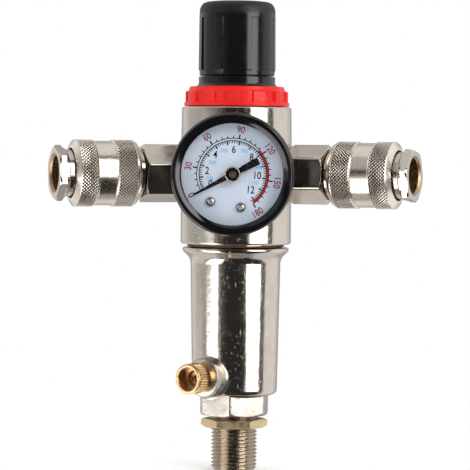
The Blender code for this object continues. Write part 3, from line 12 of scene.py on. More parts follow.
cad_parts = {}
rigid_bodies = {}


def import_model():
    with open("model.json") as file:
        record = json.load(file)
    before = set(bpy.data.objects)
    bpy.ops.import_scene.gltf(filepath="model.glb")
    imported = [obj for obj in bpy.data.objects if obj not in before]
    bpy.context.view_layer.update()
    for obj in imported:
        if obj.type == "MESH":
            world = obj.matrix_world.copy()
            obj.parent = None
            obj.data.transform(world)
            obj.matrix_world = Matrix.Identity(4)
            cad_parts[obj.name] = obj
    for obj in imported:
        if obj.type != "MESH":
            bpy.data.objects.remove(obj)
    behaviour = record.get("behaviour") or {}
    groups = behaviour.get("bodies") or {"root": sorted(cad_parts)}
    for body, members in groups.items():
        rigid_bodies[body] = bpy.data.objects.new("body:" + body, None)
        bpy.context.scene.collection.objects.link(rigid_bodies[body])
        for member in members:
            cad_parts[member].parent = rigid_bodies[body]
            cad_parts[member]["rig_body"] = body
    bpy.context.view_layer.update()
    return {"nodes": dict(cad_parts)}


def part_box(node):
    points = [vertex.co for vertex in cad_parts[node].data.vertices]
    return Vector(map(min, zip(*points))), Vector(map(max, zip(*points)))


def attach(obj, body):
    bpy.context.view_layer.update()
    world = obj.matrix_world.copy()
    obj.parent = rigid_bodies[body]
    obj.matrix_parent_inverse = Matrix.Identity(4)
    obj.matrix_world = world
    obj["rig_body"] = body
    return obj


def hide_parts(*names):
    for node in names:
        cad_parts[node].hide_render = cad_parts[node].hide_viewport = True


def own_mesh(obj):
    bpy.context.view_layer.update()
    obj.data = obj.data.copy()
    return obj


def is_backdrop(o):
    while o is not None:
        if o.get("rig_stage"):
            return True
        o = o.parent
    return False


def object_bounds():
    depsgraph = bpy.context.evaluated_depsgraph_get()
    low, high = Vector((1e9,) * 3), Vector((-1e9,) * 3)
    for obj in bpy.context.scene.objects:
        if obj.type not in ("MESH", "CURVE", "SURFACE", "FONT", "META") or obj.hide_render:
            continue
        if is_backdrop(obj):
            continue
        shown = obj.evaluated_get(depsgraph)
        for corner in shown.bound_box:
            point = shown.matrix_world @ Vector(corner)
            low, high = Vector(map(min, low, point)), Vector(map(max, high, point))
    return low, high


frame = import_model()
cad = frame["nodes"]
scene = bpy.context.scene

MM = 0.001
FULL_TURN = 2.0 * math.pi
ROUND = 144
ON_AXIS = 1e-6
WELD = 1e-7

# Main sizes, the same as in the CAD source
BODY_R = 20.1
PORT_Z = 108.0
PORT_FACE_S = 21.5
GAUGE_Z = 108.2
COUPLER_SWING_DEG = 70.0
ADAPTER_TURN_DEG = {"left": 17.0, "right": 26.5}
NOSE_TURN_DEG = {"left": 38.0, "right": 50.0}
DRAIN_SWING_DEG = -35.0
DRAIN_Z = 34.8
NEEDLE_REST_DEG = 208.0


def along(swing_deg, height):
    """Matrix whose local Z runs outwards and level, at an angle from -Y, with +X as the positive side."""
    turn = math.radians(swing_deg)
    out = Vector((math.sin(turn), -math.cos(turn), 0.0))
    side = Vector((math.cos(turn), math.sin(turn), 0.0))
    axes = Matrix((side, out.cross(side), out)).transposed().to_4x4()
    return Matrix.Translation((0.0, 0.0, height * MM)) @ axes


FRONT = along(0.0, GAUGE_Z)
SIDES = (("left", -1.0), ("right", 1.0))


def add_object(name, data):
    """New object in the scene for this mesh, text, light or camera."""
    made = bpy.data.objects.new(name, data)
    scene.collection.objects.link(made)
    return made


# Camera, set up from the photograph

PHOTO_PX = 470
FOCAL_PX = 2654.0
CAMERA_FAR = 0.967
CAMERA_SWING_DEG = 1.8
CAMERA_Z = 0.118
CAMERA_AIM = Vector((-0.00026, 0.0, 0.08566))
CAMERA_ROLL_DEG = 0.48

lens = bpy.data.cameras.new("camera")
lens.sensor_width = 36.0
lens.lens = FOCAL_PX * lens.sensor_width / PHOTO_PX
lens.clip_start = 0.05
lens.clip_end = 50.0
camera = add_object("camera", lens)
swing = math.radians(CAMERA_SWING_DEG)
camera.location = (CAMERA_FAR * math.sin(swing), -CAMERA_FAR * math.cos(swing), CAMERA_Z)
camera.rotation_mode = "QUATERNION"
looking = (CAMERA_AIM - camera.location).to_track_quat("-Z", "Y")
roll = Matrix.Rotation(math.radians(CAMERA_ROLL_DEG), 4, "Z")
camera.rotation_quaternion = looking @ roll.to_quaternion()
scene.camera = camera


# Materials

class Nodes:
    """A node tree filled from code."""

    def __init__(self, tree):
        self.tree = tree

    def fill(self, node, inputs):
        """Gives each input, by name or number, its value or the socket that feeds it."""
        for key, value in inputs.items():
            if isinstance(value, bpy.types.NodeSocket):
                self.tree.links.new(value, node.inputs[key])
            else:
                node.inputs[key].default_value = value

    def add(self, kind, inputs=None, **settings):
        """New node with these inputs and settings."""
        made = self.tree.nodes.new(kind)
        for key, value in settings.items():
            setattr(made, key, value)
        self.fill(made, inputs or {})
        return made

    def math(self, operation, *sources):
        return self.add("ShaderNodeMath", dict(enumerate(sources)), operation=operation).outputs[0]

    def product(self, one, other):
        return self.math("MULTIPLY", one, other)

    def larger(self, one, other):
        return self.math("MAXIMUM", one, other)


def emptied(holder):
    """Nodes of a new material or world, with none there yet."""
    holder.use_nodes = True
    holder.node_tree.nodes.clear()
    return Nodes(holder.node_tree)


class Look(Nodes):
    """A Principled material whose colour, roughness and surface come from procedural nodes, in metres."""

    def __init__(self, name, metallic=0.0, coat=0.0, ior=1.5):
        self.material = bpy.data.materials.new(name)
        self.material.use_nodes = True
        super().__init__(self.material.node_tree)
        self.shader = self.tree.nodes["Principled BSDF"]
        self.surface({"Metallic": metallic, "IOR": ior})
        if coat:
            self.surface({"Coat Weight": coat, "Coat Roughness": 0.04})
        self.place = self.add("ShaderNodeTexCoord").outputs["Object"]
        self.normal = None

    def surface(self, inputs):
        """Fills inputs of the Principled shader."""
        self.fill(self.shader, inputs)

    def noise(self, size, detail=3.0, stretch=(1.0, 1.0, 1.0), turn=(0.0, 0.0, 0.0)):
        """Noise with blobs of about this size in millimetres, drawn out by stretch."""
        place = self.place
        if stretch != (1.0, 1.0, 1.0) or turn != (0.0, 0.0, 0.0):
            scale = [1.0 / part for part in stretch]
            angles = [math.radians(part) for part in turn]
            mapped = self.add("ShaderNodeMapping", {"Vector": place, "Rotation": angles, "Scale": scale})
            place = mapped.outputs["Vector"]
        inputs = {"Vector": place, "Scale": 1.0 / (size * MM), "Detail": detail}
        return self.add("ShaderNodeTexNoise", inputs).outputs["Fac"]

    def level(self, source, low, high, start=0.35, end=0.65):
        """Turns a source that runs from start to end into a value from low to high."""
        inputs = {"Value": source, "From Min": start, "From Max": end, "To Min": low, "To Max": high}
        return self.add("ShaderNodeMapRange", inputs).outputs["Result"]

    def colour(self, source, stops):
        """Base colour from (place, colour) stops along the source."""
        ramp = self.add("ShaderNodeValToRGB", {"Fac": source})
        while len(ramp.color_ramp.elements) < len(stops):
            ramp.color_ramp.elements.new(0.5)
        for element, (place, tone) in zip(ramp.color_ramp.elements, stops):
            element.position = place
            element.color = (*tone, 1.0)
        self.surface({"Base Color": ramp.outputs["Color"]})

    def roughness(self, source):
        self.surface({"Roughness": source})

    def bump(self, source, depth):
        """Raises the surface by up to this depth in millimetres where the source is high."""
        inputs = {"Height": source, "Distance": depth * MM, "Strength": 1.0}
        if self.normal is not None:
            inputs["Normal"] = self.normal
        self.normal = self.add("ShaderNodeBump", inputs).outputs["Normal"]
        self.surface({"Normal": self.normal})

    def scratches(self, stretch, turn, start, end):
        """Thin straight marks: 1 on a mark and 0 off it."""
        return self.level(self.noise(0.25, 2.0, (1.0, 1.0, stretch), turn), 0.0, 1.0, start, end)


def shade(base, factor):
    """Colour made darker or brighter."""
    return tuple(min(1.0, part * factor) for part in base)


def metal(name, base, rough, wave=0.0, grain=0.004, scratches=0.4, pits=0.0, spread=0.06, dents=0.0):
    """Metal with uneven tone and polish, and as asked casting waves, dents, grain, scratches and pits."""
    look = Look(name, metallic=1.0)
    stops = [(0.3, shade(base, 1.0 - spread)), (0.5, base), (0.7, shade(base, 1.0 + spread))]
    look.colour(look.noise(6.0, 4.0), stops)
    polish = look.level(look.noise(2.5, 5.0), rough * 0.8, rough * 1.25)
    first = look.scratches(14.0, (20.0, 35.0, 0.0), 0.70, 0.74)
    second = look.scratches(11.0, (-55.0, 15.0, 40.0), 0.71, 0.75)
    marks = look.larger(first, second)
    look.bump(marks, -0.012)
    look.roughness(look.larger(polish, look.level(marks, 0.0, scratches, 0.0, 1.0)))
    if wave:
        look.bump(look.noise(9.0, 1.0, (1.0, 1.0, 5.0)), wave)
        look.bump(look.noise(3.0, 1.0, (1.0, 1.0, 1.6)), wave * 0.18)
    if dents:
        look.bump(look.noise(2.0, 2.0), dents)
    look.bump(look.noise(0.7, 3.0), grain)
    if pits:
        look.bump(look.level(look.noise(0.9, 2.0), 0.0, 1.0, 0.68, 0.76), -pits)
    return look.material


def plastic(name, base, rough, grain=0.004, spread=0.12, coat=0.0, matt_top=None):
    """Moulded plastic with an uneven gloss and a few fine scuffs.

    matt_top is (start, end, roughness): the heights in millimetres between which it grows rough.
    """
    look = Look(name, coat=coat)
    stops = [(0.3, shade(base, 1.0 - spread)), (0.5, base), (0.72, shade(base, 1.0 + spread))]
    look.colour(look.noise(5.0, 4.0), stops)
    polish = look.level(look.noise(3.0, 5.0), rough * 0.8, rough * 1.3)
    marks = look.noise(0.3, 2.0, (1.0, 1.0, 10.0), (30.0, 10.0, 0.0))
    polish = look.larger(polish, look.level(marks, 0.0, rough + 0.2, 0.7, 0.76))
    if matt_top is not None:
        start, end, matt = matt_top
        height = look.add("ShaderNodeSeparateXYZ", {0: look.place}).outputs["Z"]
        polish = look.larger(polish, look.level(height, 0.0, matt, start * MM, end * MM))
    look.roughness(polish)
    look.bump(look.noise(0.5, 3.0), grain)
    look.bump(look.noise(12.0, 1.0), grain * 8.0)
    return look.material


def ink(name, base):
    """Flat printing ink or dull paint, hardly shining."""
    look = Look(name, ior=1.2)
    look.colour(look.noise(0.6, 3.0), [(0.3, shade(base, 0.85)), (0.7, shade(base, 1.15))])
    look.roughness(look.level(look.noise(1.0), 0.4, 0.55))
    return look.material


NICKEL = (0.68, 0.615, 0.54)
BRASS = (0.84, 0.55, 0.29)
CAST_NICKEL = metal("nickel_cast", NICKEL, 0.12, wave=0.16, grain=0.009, scratches=0.36, pits=0.03)
BOWL_NICKEL = metal(
    "nickel_bowl", NICKEL, 0.13, wave=0.2, grain=0.014, scratches=0.36, pits=0.04, dents=0.03
)
ROUGH_NICKEL = metal(
    "nickel_rough", shade(NICKEL, 0.86), 0.3, wave=0.1, grain=0.04, scratches=0.5, pits=0.1, spread=0.14
)
TURNED_NICKEL = metal("nickel_turned", NICKEL, 0.16, wave=0.03, grain=0.002, scratches=0.25)
THREAD_NICKEL = metal("nickel_thread", (0.54, 0.46, 0.36), 0.22, grain=0.003, scratches=0.3)
NUT_BRASS = metal("brass_pale", (0.78, 0.61, 0.38), 0.5, grain=0.006, scratches=0.45, pits=0.01, spread=0.1)
# Brass darkened for the inner faces of the bores: painted shade inside them.
SHADED_BORE_BRASS = metal("brass_bore_shaded", (0.46, 0.33, 0.19), 0.4, spread=0.15)
SPRING_STEEL = metal("steel_spring", (0.42, 0.42, 0.43), 0.3, spread=0.1)
SCREW_STEEL = metal("steel_dull", (0.44, 0.41, 0.38), 0.27, spread=0.2)
KNOB_BLACK = plastic("black_moulded", (0.0055, 0.0055, 0.0062), 0.16, matt_top=(164.5, 167.0, 0.5))
INNER_BLACK = plastic("black_inner", (0.03, 0.03, 0.032), 0.4, grain=0.01)
PAINT_BLACK = plastic("black_paint", (0.0045, 0.0045, 0.0055), 0.12, grain=0.002, coat=0.3)
RED = plastic("red_moulded", (0.84, 0.010, 0.006), 0.34, grain=0.006, spread=0.05)
DARK_BRONZE = metal("bronze_dark", (0.085, 0.058, 0.045), 0.45, grain=0.01, scratches=0.5, spread=0.25)
NEEDLE_BLACK = ink("needle_black", (0.003, 0.003, 0.004))
CASE_BLACK = plastic("black_case", (0.004, 0.004, 0.005), 0.45)
INK_BLACK = ink("ink_black", (0.004, 0.004, 0.005))
INK_RED = ink("ink_red", (0.27, 0.02, 0.03))
INK_ARC = ink("ink_arc", (0.45, 0.02, 0.03))
INK_BLUE = ink("ink_blue", (0.16, 0.44, 0.80))


def knurled(name, base, rough, way, teeth, bands, matt, low, first=0.0, step=0.0):
    """Metal whose bands, in millimetres along way, carry a knurl of dark grooves.

    The grooves slant both ways through first at this step, or run straight where step is 0. They are matt
    rougher than the rest, and coloured as dark as the base times low, as painted shade in the grooves.
    """
    look = Look(name, metallic=1.0)
    parts = []
    for axis in way.to_3x3().transposed():
        made = look.add("ShaderNodeVectorMath", {0: look.place, 1: axis}, operation="DOT_PRODUCT")
        parts.append(made.outputs["Value"])
    up = look.math("ADD", parts[1], -way.translation.z)
    column = look.product(look.math("ARCTAN2", up, parts[0]), teeth / FULL_TURN)
    places = [column]
    if step:
        row = look.math("MULTIPLY_ADD", parts[2], 0.5 / (step * MM), -0.5 * first / step)
        places = [look.math("ADD", column, row), look.math("SUBTRACT", column, row)]
    groove_shade = [look.level(look.math("PINGPONG", place, 0.5), 1.0, 0.0, 0.05, 0.19) for place in places]
    inside = None
    for start, end in bands:
        covered = look.math("COMPARE", parts[2], (start + end) / 2.0 * MM, (end - start) / 2.0 * MM)
        inside = covered if inside is None else look.larger(inside, covered)
    depth = look.product(look.larger(groove_shade[0], groove_shade[-1]), inside)
    tone = look.larger(depth, look.level(look.noise(4.0, 4.0), 0.0, 0.12))
    # Painted shade: the colour darkens in the grooves, down to the base times low.
    look.colour(tone, [(0.0, base), (0.12, shade(base, 0.93)), (0.95, shade(base, low))])
    polish = look.level(look.noise(2.0, 5.0), rough * 0.85, rough * 1.2)
    look.roughness(look.larger(polish, look.level(inside, 0.0, rough + matt, 0.0, 1.0)))
    look.bump(look.noise(0.5, 3.0), 0.002)
    return look.material


def bronze():
    """Sintered bronze: small balls fused together."""
    look = Look("bronze_sintered", metallic=1.0)
    balls = look.add("ShaderNodeTexVoronoi", {"Vector": look.place, "Scale": 1.0 / (0.5 * MM)})
    near = balls.outputs["Distance"]
    # The colour darkens from each ball's middle into the gaps between the balls: painted shade in the gaps.
    look.colour(near, [(0.0, (0.62, 0.42, 0.22)), (0.6, (0.25, 0.15, 0.07))])
    look.roughness(look.level(look.noise(0.8), 0.45, 0.7))
    look.bump(look.level(near, 1.0, 0.0, 0.0, 0.7), 0.08)
    return look.material


def rubber(name, base):
    """Dull moulded rubber."""
    look = Look(name)
    look.colour(look.noise(2.0, 5.0), [(0.3, shade(base, 0.8)), (0.7, shade(base, 1.25))])
    look.roughness(look.level(look.noise(1.0, 4.0), 0.55, 0.8))
    look.bump(look.noise(0.25, 3.0), 0.01)
    return look.material


def dial_paint():
    """Pale blue-white enamel with a faint mottle."""
    look = Look("dial_enamel")
    look.colour(look.noise(7.0, 5.0), [(0.3, (0.53, 0.60, 0.72)), (0.7, (0.59, 0.655, 0.765))])
    look.roughness(look.level(look.noise(2.0, 3.0), 0.35, 0.5))
    look.bump(look.noise(0.35, 3.0), 0.003)
    return look.material


def glass():
    """Clear pane that lets the lamps reach what is behind it."""
    look = Look("lens_clear", ior=1.45)
    look.colour(look.noise(15.0), [(0.3, (0.97, 0.985, 0.99)), (0.7, (0.985, 0.99, 1.0))])
    look.roughness(look.level(look.noise(4.0, 4.0), 0.0, 0.03))
    look.surface({"Transmission Weight": 1.0})
    path = look.add("ShaderNodeLightPath")
    clear = look.add("ShaderNodeBsdfTransparent")
    facing = look.add("ShaderNodeLayerWeight", {"Blend": 0.5}).outputs["Facing"]
    through = look.level(look.math("POWER", facing, 5.0), 0.96, 0.0, 0.0, 1.0)
    seen = look.product(path.outputs["Is Camera Ray"], through)
    behind = look.larger(path.outputs["Is Shadow Ray"], path.outputs["Is Diffuse Ray"])
    shaders = {0: look.larger(behind, seen), 1: look.shader.outputs[0], 2: clear.outputs[0]}
    mixed = look.add("ShaderNodeMixShader", shaders)
    look.fill(look.tree.nodes["Material Output"], {"Surface": mixed.outputs[0]})
    return look.material


BRONZE = bronze()
BLACK_RUBBER = rubber("rubber_black", (0.022, 0.022, 0.022))
BROWN_RUBBER = rubber("rubber_brown", (0.20, 0.105, 0.055))
DIAL_PAINT = dial_paint()
CLEAR = glass()


# Mesh building

def quads(rows, columns, rows_close, columns_close):
    """Faces between neighbouring points of a grid, whose rows and columns may close on themselves."""
    faces = []
    for row in range(rows if rows_close else rows - 1):
        here = row * columns
        there = (row + 1) % rows * columns
        for step in range(columns if columns_close else columns - 1):
            after = (step + 1) % columns
            faces.append((here + step, here + after, there + after, there + step))
    return faces


def join(*parts):
    """One list of points and one of faces from several."""
    points = []
    faces = []
    for part_points, part_faces in parts:
        start = len(points)
        points.extend(part_points)
        faces.extend(tuple(start + corner for corner in face) for face in part_faces)
    return points, faces


def soften(outline, rounding, steps=3):
    """Outline with each corner off the axis eased by a short curve."""
    points = []
    for index, here in enumerate(outline):
        corner = Vector(here)
        before = Vector(outline[index - 1]) - corner
        after = Vector(outline[(index + 1) % len(outline)]) - corner
        reach = min(rounding, 0.4 * before.length, 0.4 * after.length)
        if corner.x < ON_AXIS or reach <= 0.0:
            points.append(corner)
            continue
        start = corner + before.normalized() * reach
        end = corner + after.normalized() * reach
        for step in range(steps + 1):
            share = step / steps
            points.append(start.lerp(corner, share).lerp(corner.lerp(end, share), share))
    return [tuple(point) for point in points]


def divide(outline, longest, beyond):
    """Outline with each stretch whose ends lie beyond a radius cut into pieces no longer than asked."""
    points = []
    for index, here in enumerate(outline):
        there = outline[(index + 1) % len(outline)]
        points.append(here)
        gap = math.dist(here, there)
        if min(here[0], there[0]) < beyond or gap <= longest:
            continue
        count = math.ceil(gap / longest)
        for step in range(1, count):
            share = step / count
            points.append((here[0] + (there[0] - here[0]) * share, here[1] + (there[1] - here[1]) * share))
    return points


def even(count):
    """Angles in even steps round a full turn."""
    return FULL_TURN * np.arange(count) / count


MOST_TWIST = 0.1


def revolve(outline, angles=None, shape=None):
    """Closed (radius, height) outline turned about local Z, in millimetres.

    shape may change each point's radius. A face twisted by more than MOST_TWIST becomes two triangles.
    """
    if angles is None:
        angles = even(ROUND)
    radii, heights = np.array(outline, float).T
    radius = np.repeat(radii[:, None], len(angles), axis=1)
    height = np.repeat(heights[:, None], len(angles), axis=1)
    angle = np.repeat(np.asarray(angles)[None, :], len(radii), axis=0)
    if shape is not None:
        radius = shape(radius, height, angle)
    points = np.stack([radius * np.cos(angle), radius * np.sin(angle), height], axis=-1)
    count = len(angles)
    faces = []
    for row in range(len(radii)):
        after_row = (row + 1) % len(radii)
        if radii[row] < ON_AXIS and radii[after_row] < ON_AXIS:
            continue
        for step in range(count):
            after = (step + 1) % count
            here = row * count
            there = after_row * count
            quad = (here + step, here + after, there + after, there + step)
            one = radius[row, step] + radius[after_row, after]
            other = radius[row, after] + radius[after_row, step]
            if abs(one - other) < MOST_TWIST:
                faces.append(quad)
            elif one < other:
                faces += [(quad[0], quad[1], quad[2]), (quad[0], quad[2], quad[3])]
            else:
                faces += [(quad[1], quad[2], quad[3]), (quad[1], quad[3], quad[0])]
    return [tuple(point) for point in points.reshape(-1, 3)], faces


def slab(outline, low, high):
    """Flat solid over an outline of (x, y) points, between two heights."""
    count = len(outline)
    points = [(x, y, height) for height in (low, high) for x, y in outline]
    faces = [tuple(reversed(range(count))), tuple(range(count, 2 * count))]
    for step in range(count):
        after = (step + 1) % count
        faces.append((step, after, count + after, count + step))
    return points, faces


def smooth_min(one, other, ease):
    """The smaller of two, rounded over where they cross."""
    share = np.clip(0.5 + 0.5 * (other - one) / ease, 0.0, 1.0)
    return other * (1.0 - share) + one * share - ease * share * (1.0 - share)


def hex_angles(turn_deg):
    """Angles round a hexagon, closer together at its corners."""
    half = [-29.0, -28.0, -26.5, -24.0, -20.0, -14.0, -7.0]
    side = [-30.0] + half + [0.0] + [-part for part in reversed(half)]
    return np.radians([turn_deg + 30.0 + 60.0 * index + part for index in range(6) for part in side])


def hexagon(across, turn_deg, ease):
    """Shape rule that keeps a turned outline inside a hexagon with a corner at turn_deg."""

    def shape(radius, height, angle):
        part = np.mod(np.degrees(angle) - turn_deg, 60.0) - 30.0
        side = across / 2.0 / np.cos(np.radians(part))
        return smooth_min(radius, side, ease)

    return shape


def piece(name, parts, look, replaced=(), way=None, body=None, sharp_deg=32.0, inside=None):
    """Object made from points and faces in millimetres, placed by way, with the finish of a material slot.

    It stands for the CAD nodes in replaced and rides on their body, or else on the body named.
    inside is (radius, material) for the faces nearer the axis.
    """
    points, faces = parts
    mesh = bpy.data.meshes.new(name)
    mesh.from_pydata([tuple(part * MM for part in point) for point in points], [], faces)
    work = bmesh.new()
    work.from_mesh(mesh)
    bmesh.ops.remove_doubles(work, verts=work.verts, dist=WELD)
    bmesh.ops.recalc_face_normals(work, faces=work.faces)
    if inside is not None:
        limit = inside[0] * MM
        for face in work.faces:
            if all(corner.co.xy.length <= limit for corner in face.verts):
                face.material_index = 1
    work.to_mesh(mesh)
    work.free()
    mesh.transform(way or Matrix.Identity(4))
    mesh.materials.append(look)
    if inside is not None:
        mesh.materials.append(inside[1])
    mesh.shade_smooth()
    mesh.set_sharp_from_angle(angle=math.radians(sharp_deg))
    made = add_object(name, mesh)
    flatter = made.modifiers.new("flatter", "WEIGHTED_NORMAL")
    flatter.keep_sharp = True
    flatter.weight = 70
    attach(made, body or cad[replaced[0]]["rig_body"])
    if replaced:
        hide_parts(*replaced)


def boss(radius, face, bore, root, host, ease):
    """Round boss on an upright cylinder of radius host: bore wall, face, side and a fillet at its foot."""
    around = 72
    steps = 8
    rows = []
    for phase in even(around):
        reach = radius * math.cos(phase)
        foot = math.sqrt(host**2 - reach**2)
        spread = (radius + ease) * math.cos(phase)
        skirt = math.sqrt(host**2 - spread**2)
        line = [(bore, root), (bore, face), (radius - 0.5, face)]
        line += [(radius - 0.15, face - 0.15), (radius, face - 0.5)]
        top = Vector((radius, min(foot + ease, face - 0.6)))
        knee = Vector((radius, foot))
        end = Vector((radius + ease, skirt - 0.04))
        for step in range(steps + 1):
            share = step / steps
            line.append(tuple(top.lerp(knee, share).lerp(knee.lerp(end, share), share)))
        line.append((radius + ease, skirt - 1.0))
        rows.append([(r * math.cos(phase), r * math.sin(phase), s) for r, s in line])
    return [point for row in rows for point in row], quads(around, len(rows[0]), True, True)


def moved(parts, matrix):
    """Points in millimetres carried by a matrix whose shift is in metres."""
    points, faces = parts
    return [tuple(matrix @ (Vector(point) * MM) / MM) for point in points], faces


# Body casting with its two port bosses and the gauge boss

body_outline = [
    (16.7, 82.5), (19.7, 82.5), (BODY_R, 83.0), (BODY_R, 120.0), (19.9, 131.8), (19.5, 132.2),
    (16.1, 132.2), (16.1, 117.3), (11.5, 117.3), (11.5, 100.6), (4.0, 100.6), (4.0, 97.0), (12.0, 97.0),
    (12.0, 91.0), (16.7, 91.0),
]
body_parts = [revolve(soften(body_outline, 0.35))]
for swing_deg in (-COUPLER_SWING_DEG, COUPLER_SWING_DEG):
    port = boss(radius=10.6, face=PORT_FACE_S, bore=6.9, root=14.0, host=BODY_R, ease=0.7)
    body_parts.append(moved(port, along(swing_deg, PORT_Z)))
port = boss(radius=8.0, face=PORT_FACE_S, bore=5.1, root=14.0, host=BODY_R, ease=1.0)
body_parts.append(moved(port, FRONT))
piece("cast_body", join(*body_parts), CAST_NICKEL, ["body"])


# Bowl: flange, tapered wall, drain boss and the hexagon under it

BOWL_HEX_AF = 23.4
BOWL_HEX_TURN_DEG = -95.7

bowl_outline = [
    (8.63, 26.8), (8.63, 31.0), (12.6, 31.0), (13.6, 32.0), (13.6, 90.0), (15.9, 90.0), (16.4, 89.5),
    (16.4, 81.3), (18.9, 81.3), (19.4, 80.8), (19.3, 80.0), (18.6, 79.2), (17.6, 78.3), (16.85, 77.3),
    (16.4, 76.0), (15.5, 29.4), (15.2, 28.4), (14.2, 27.8), (11.0, 26.8),
]
piece("cast_bowl", revolve(soften(bowl_outline, 0.5)), BOWL_NICKEL, ["bowl"], sharp_deg=38.0)
hex_outline = [(8.63, 20.2), (12.2, 20.2), (13.0, 20.6), (13.5, 21.3), (13.5, 28.1), (8.63, 28.1)]
hex_outline = divide(soften(hex_outline, 0.3), 0.6, 9.0)
hex_shape = hexagon(BOWL_HEX_AF, BOWL_HEX_TURN_DEG, 0.6)
hex_parts = revolve(hex_outline, hex_angles(BOWL_HEX_TURN_DEG), hex_shape)
piece("cast_hexagon", hex_parts, ROUGH_NICKEL, body="root", sharp_deg=38.0)
drain_way = along(DRAIN_SWING_DEG, DRAIN_Z)
drain_boss = boss(radius=7.0, face=19.5, bore=3.8, root=14.6, host=15.62, ease=1.3)
piece("cast_drain_boss", drain_boss, ROUGH_NICKEL, way=drain_way, body="root", sharp_deg=38.0)
seal = soften([(16.7, 81.6), (17.55, 81.6), (17.7, 81.85), (17.55, 82.2), (16.7, 82.2)], 0.15)
piece("seal_ring", revolve(seal), BROWN_RUBBER, ["bowl_seal"])


# Bonnet and the red lock ring

bonnet_outline = [
    (13.0, 119.2), (15.8, 119.2), (15.8, 131.8), (15.0, 131.8), (15.0, 139.7), (14.5, 139.95),
    (14.05, 140.4), (13.9, 140.8), (13.9, 143.2), (11.2, 143.2), (11.2, 159.4), (10.6, 160.0),
    (3.3, 160.0), (3.3, 155.5), (9.6, 155.5), (9.6, 124.0), (13.0, 121.0),
]
piece("bonnet_shell", revolve(soften(bonnet_outline, 0.25)), KNOB_BLACK, ["bonnet"])

RING_SLOTS = 12
RING_PITCH_DEG = 360.0 / RING_SLOTS
FIRST_SLOT_DEG = 103.5
SLOT_HALF_DEG = 7.4
SLOT_WALL_DEG = 1.1
SLOT_FLOOR_R = 17.6
SLOT_FLOOR_Z = 134.0


def slot_angles(first_deg, pitch_deg, half_deg, wall_deg, across):
    """Angles that fall on both edges of each slot's walls, with even steps between."""
    found = []
    inner = half_deg - wall_deg
    for step in range(round(360.0 / pitch_deg)):
        centre = first_deg + pitch_deg * step
        found += list(np.linspace(-inner, inner, across) + centre)
        found += list(np.linspace(half_deg, pitch_deg - half_deg, across) + centre)
    return np.radians(sorted(found))


def off_slot(angle, first_deg, pitch_deg):
    """Degrees from the middle of the nearest slot."""
    half = pitch_deg / 2.0
    return np.abs(np.mod(np.degrees(angle) - first_deg + half, pitch_deg) - half)


def ring_shape(radius, height, angle):
    """Cuts the slots down to their floor."""
    off = off_slot(angle, FIRST_SLOT_DEG, RING_PITCH_DEG)
    in_slot = (off < SLOT_HALF_DEG - SLOT_WALL_DEG / 2.0) & (height > SLOT_FLOOR_Z)
    return np.where(in_slot & (radius > SLOT_FLOOR_R), SLOT_FLOOR_R, radius)


ring_outline = [
    (15.3, 132.5), (19.1, 132.5), (19.1, 133.8), (18.7, 133.95), (18.65, 134.1), (18.65, 137.5),
    (18.45, 137.8), (17.85, 137.95), (17.45, 138.3), (17.1, 139.6), (15.3, 139.6),
]
ring_angles = slot_angles(FIRST_SLOT_DEG, RING_PITCH_DEG, SLOT_HALF_DEG, SLOT_WALL_DEG, 6)
ring_parts = revolve(soften(ring_outline, 0.2), ring_angles, ring_shape)
piece("ring_red", ring_parts, RED, ["lock_ring"], sharp_deg=28.0)


# Knob: eight raised grips with flutes between them, and a plain band below

KNOB_FLUTES = 8
FLUTE_PITCH_DEG = 360.0 / KNOB_FLUTES
FIRST_FLUTE_DEG = -59.3
KNOB_FLUTE_R = 13.4
FLUTE_HALF_DEG = 7.3
FLUTE_WALL_DEG = 1.3
FLUTE_LOW_Z = 145.0
FLUTE_TOP_Z = 164.4


def knob_shape(radius, height, angle):
    """Cuts the flutes."""
    off = off_slot(angle, FIRST_FLUTE_DEG, FLUTE_PITCH_DEG)
    in_flute = off < FLUTE_HALF_DEG - FLUTE_WALL_DEG / 2.0
    in_flute &= (height > FLUTE_LOW_Z) & (height < FLUTE_TOP_Z)
    return np.where(in_flute & (radius > KNOB_FLUTE_R), KNOB_FLUTE_R, radius)


knob_outline = [
    (11.7, 143.5), (13.35, 143.5), (13.65, 143.8), (13.68, 145.3), (13.75, 145.45), (13.98, 145.65),
    (14.0, 146.0), (13.85, 164.3), (13.85, 164.5), (13.8, 166.6), (13.62, 167.9), (13.15, 169.0),
    (12.4, 169.8), (11.2, 170.3), (9.2, 170.55), (5.0, 170.6), (0.0, 170.6), (0.0, 168.9), (2.9, 168.9),
    (2.9, 161.0), (5.2, 161.0), (5.2, 167.6), (11.7, 167.6),
]
knob_angles = slot_angles(FIRST_FLUTE_DEG, FLUTE_PITCH_DEG, FLUTE_HALF_DEG, FLUTE_WALL_DEG, 9)
knob_parts = revolve(knob_outline, knob_angles, knob_shape)
piece("knob_fluted", knob_parts, KNOB_BLACK, ["adjusting_knob"], sharp_deg=30.0)


# Nipple with its helical thread, and the jam nut

NIPPLE_R = 8.33
THREAD_PITCH = 1.337
THREAD_DEPTH = 0.86
THREAD_END = 32.0


def thread_shape(radius, height, angle):
    """Cuts one rounded groove round and round, which runs out at the top."""
    phase = np.mod(height / THREAD_PITCH - angle / FULL_TURN, 1.0)
    fall = np.clip((np.abs(phase - 0.5) * 2.0 - 0.12) / 0.76, 0.0, 1.0)
    fall = fall * fall * (3.0 - 2.0 * fall) * 0.4 + fall * 0.6
    run_out = np.clip((THREAD_END - height) / 0.8, 0.0, 1.0)
    crest = NIPPLE_R - THREAD_DEPTH * fall * run_out
    return np.where(radius > NIPPLE_R - THREAD_DEPTH - 0.3, np.minimum(radius, crest), radius)


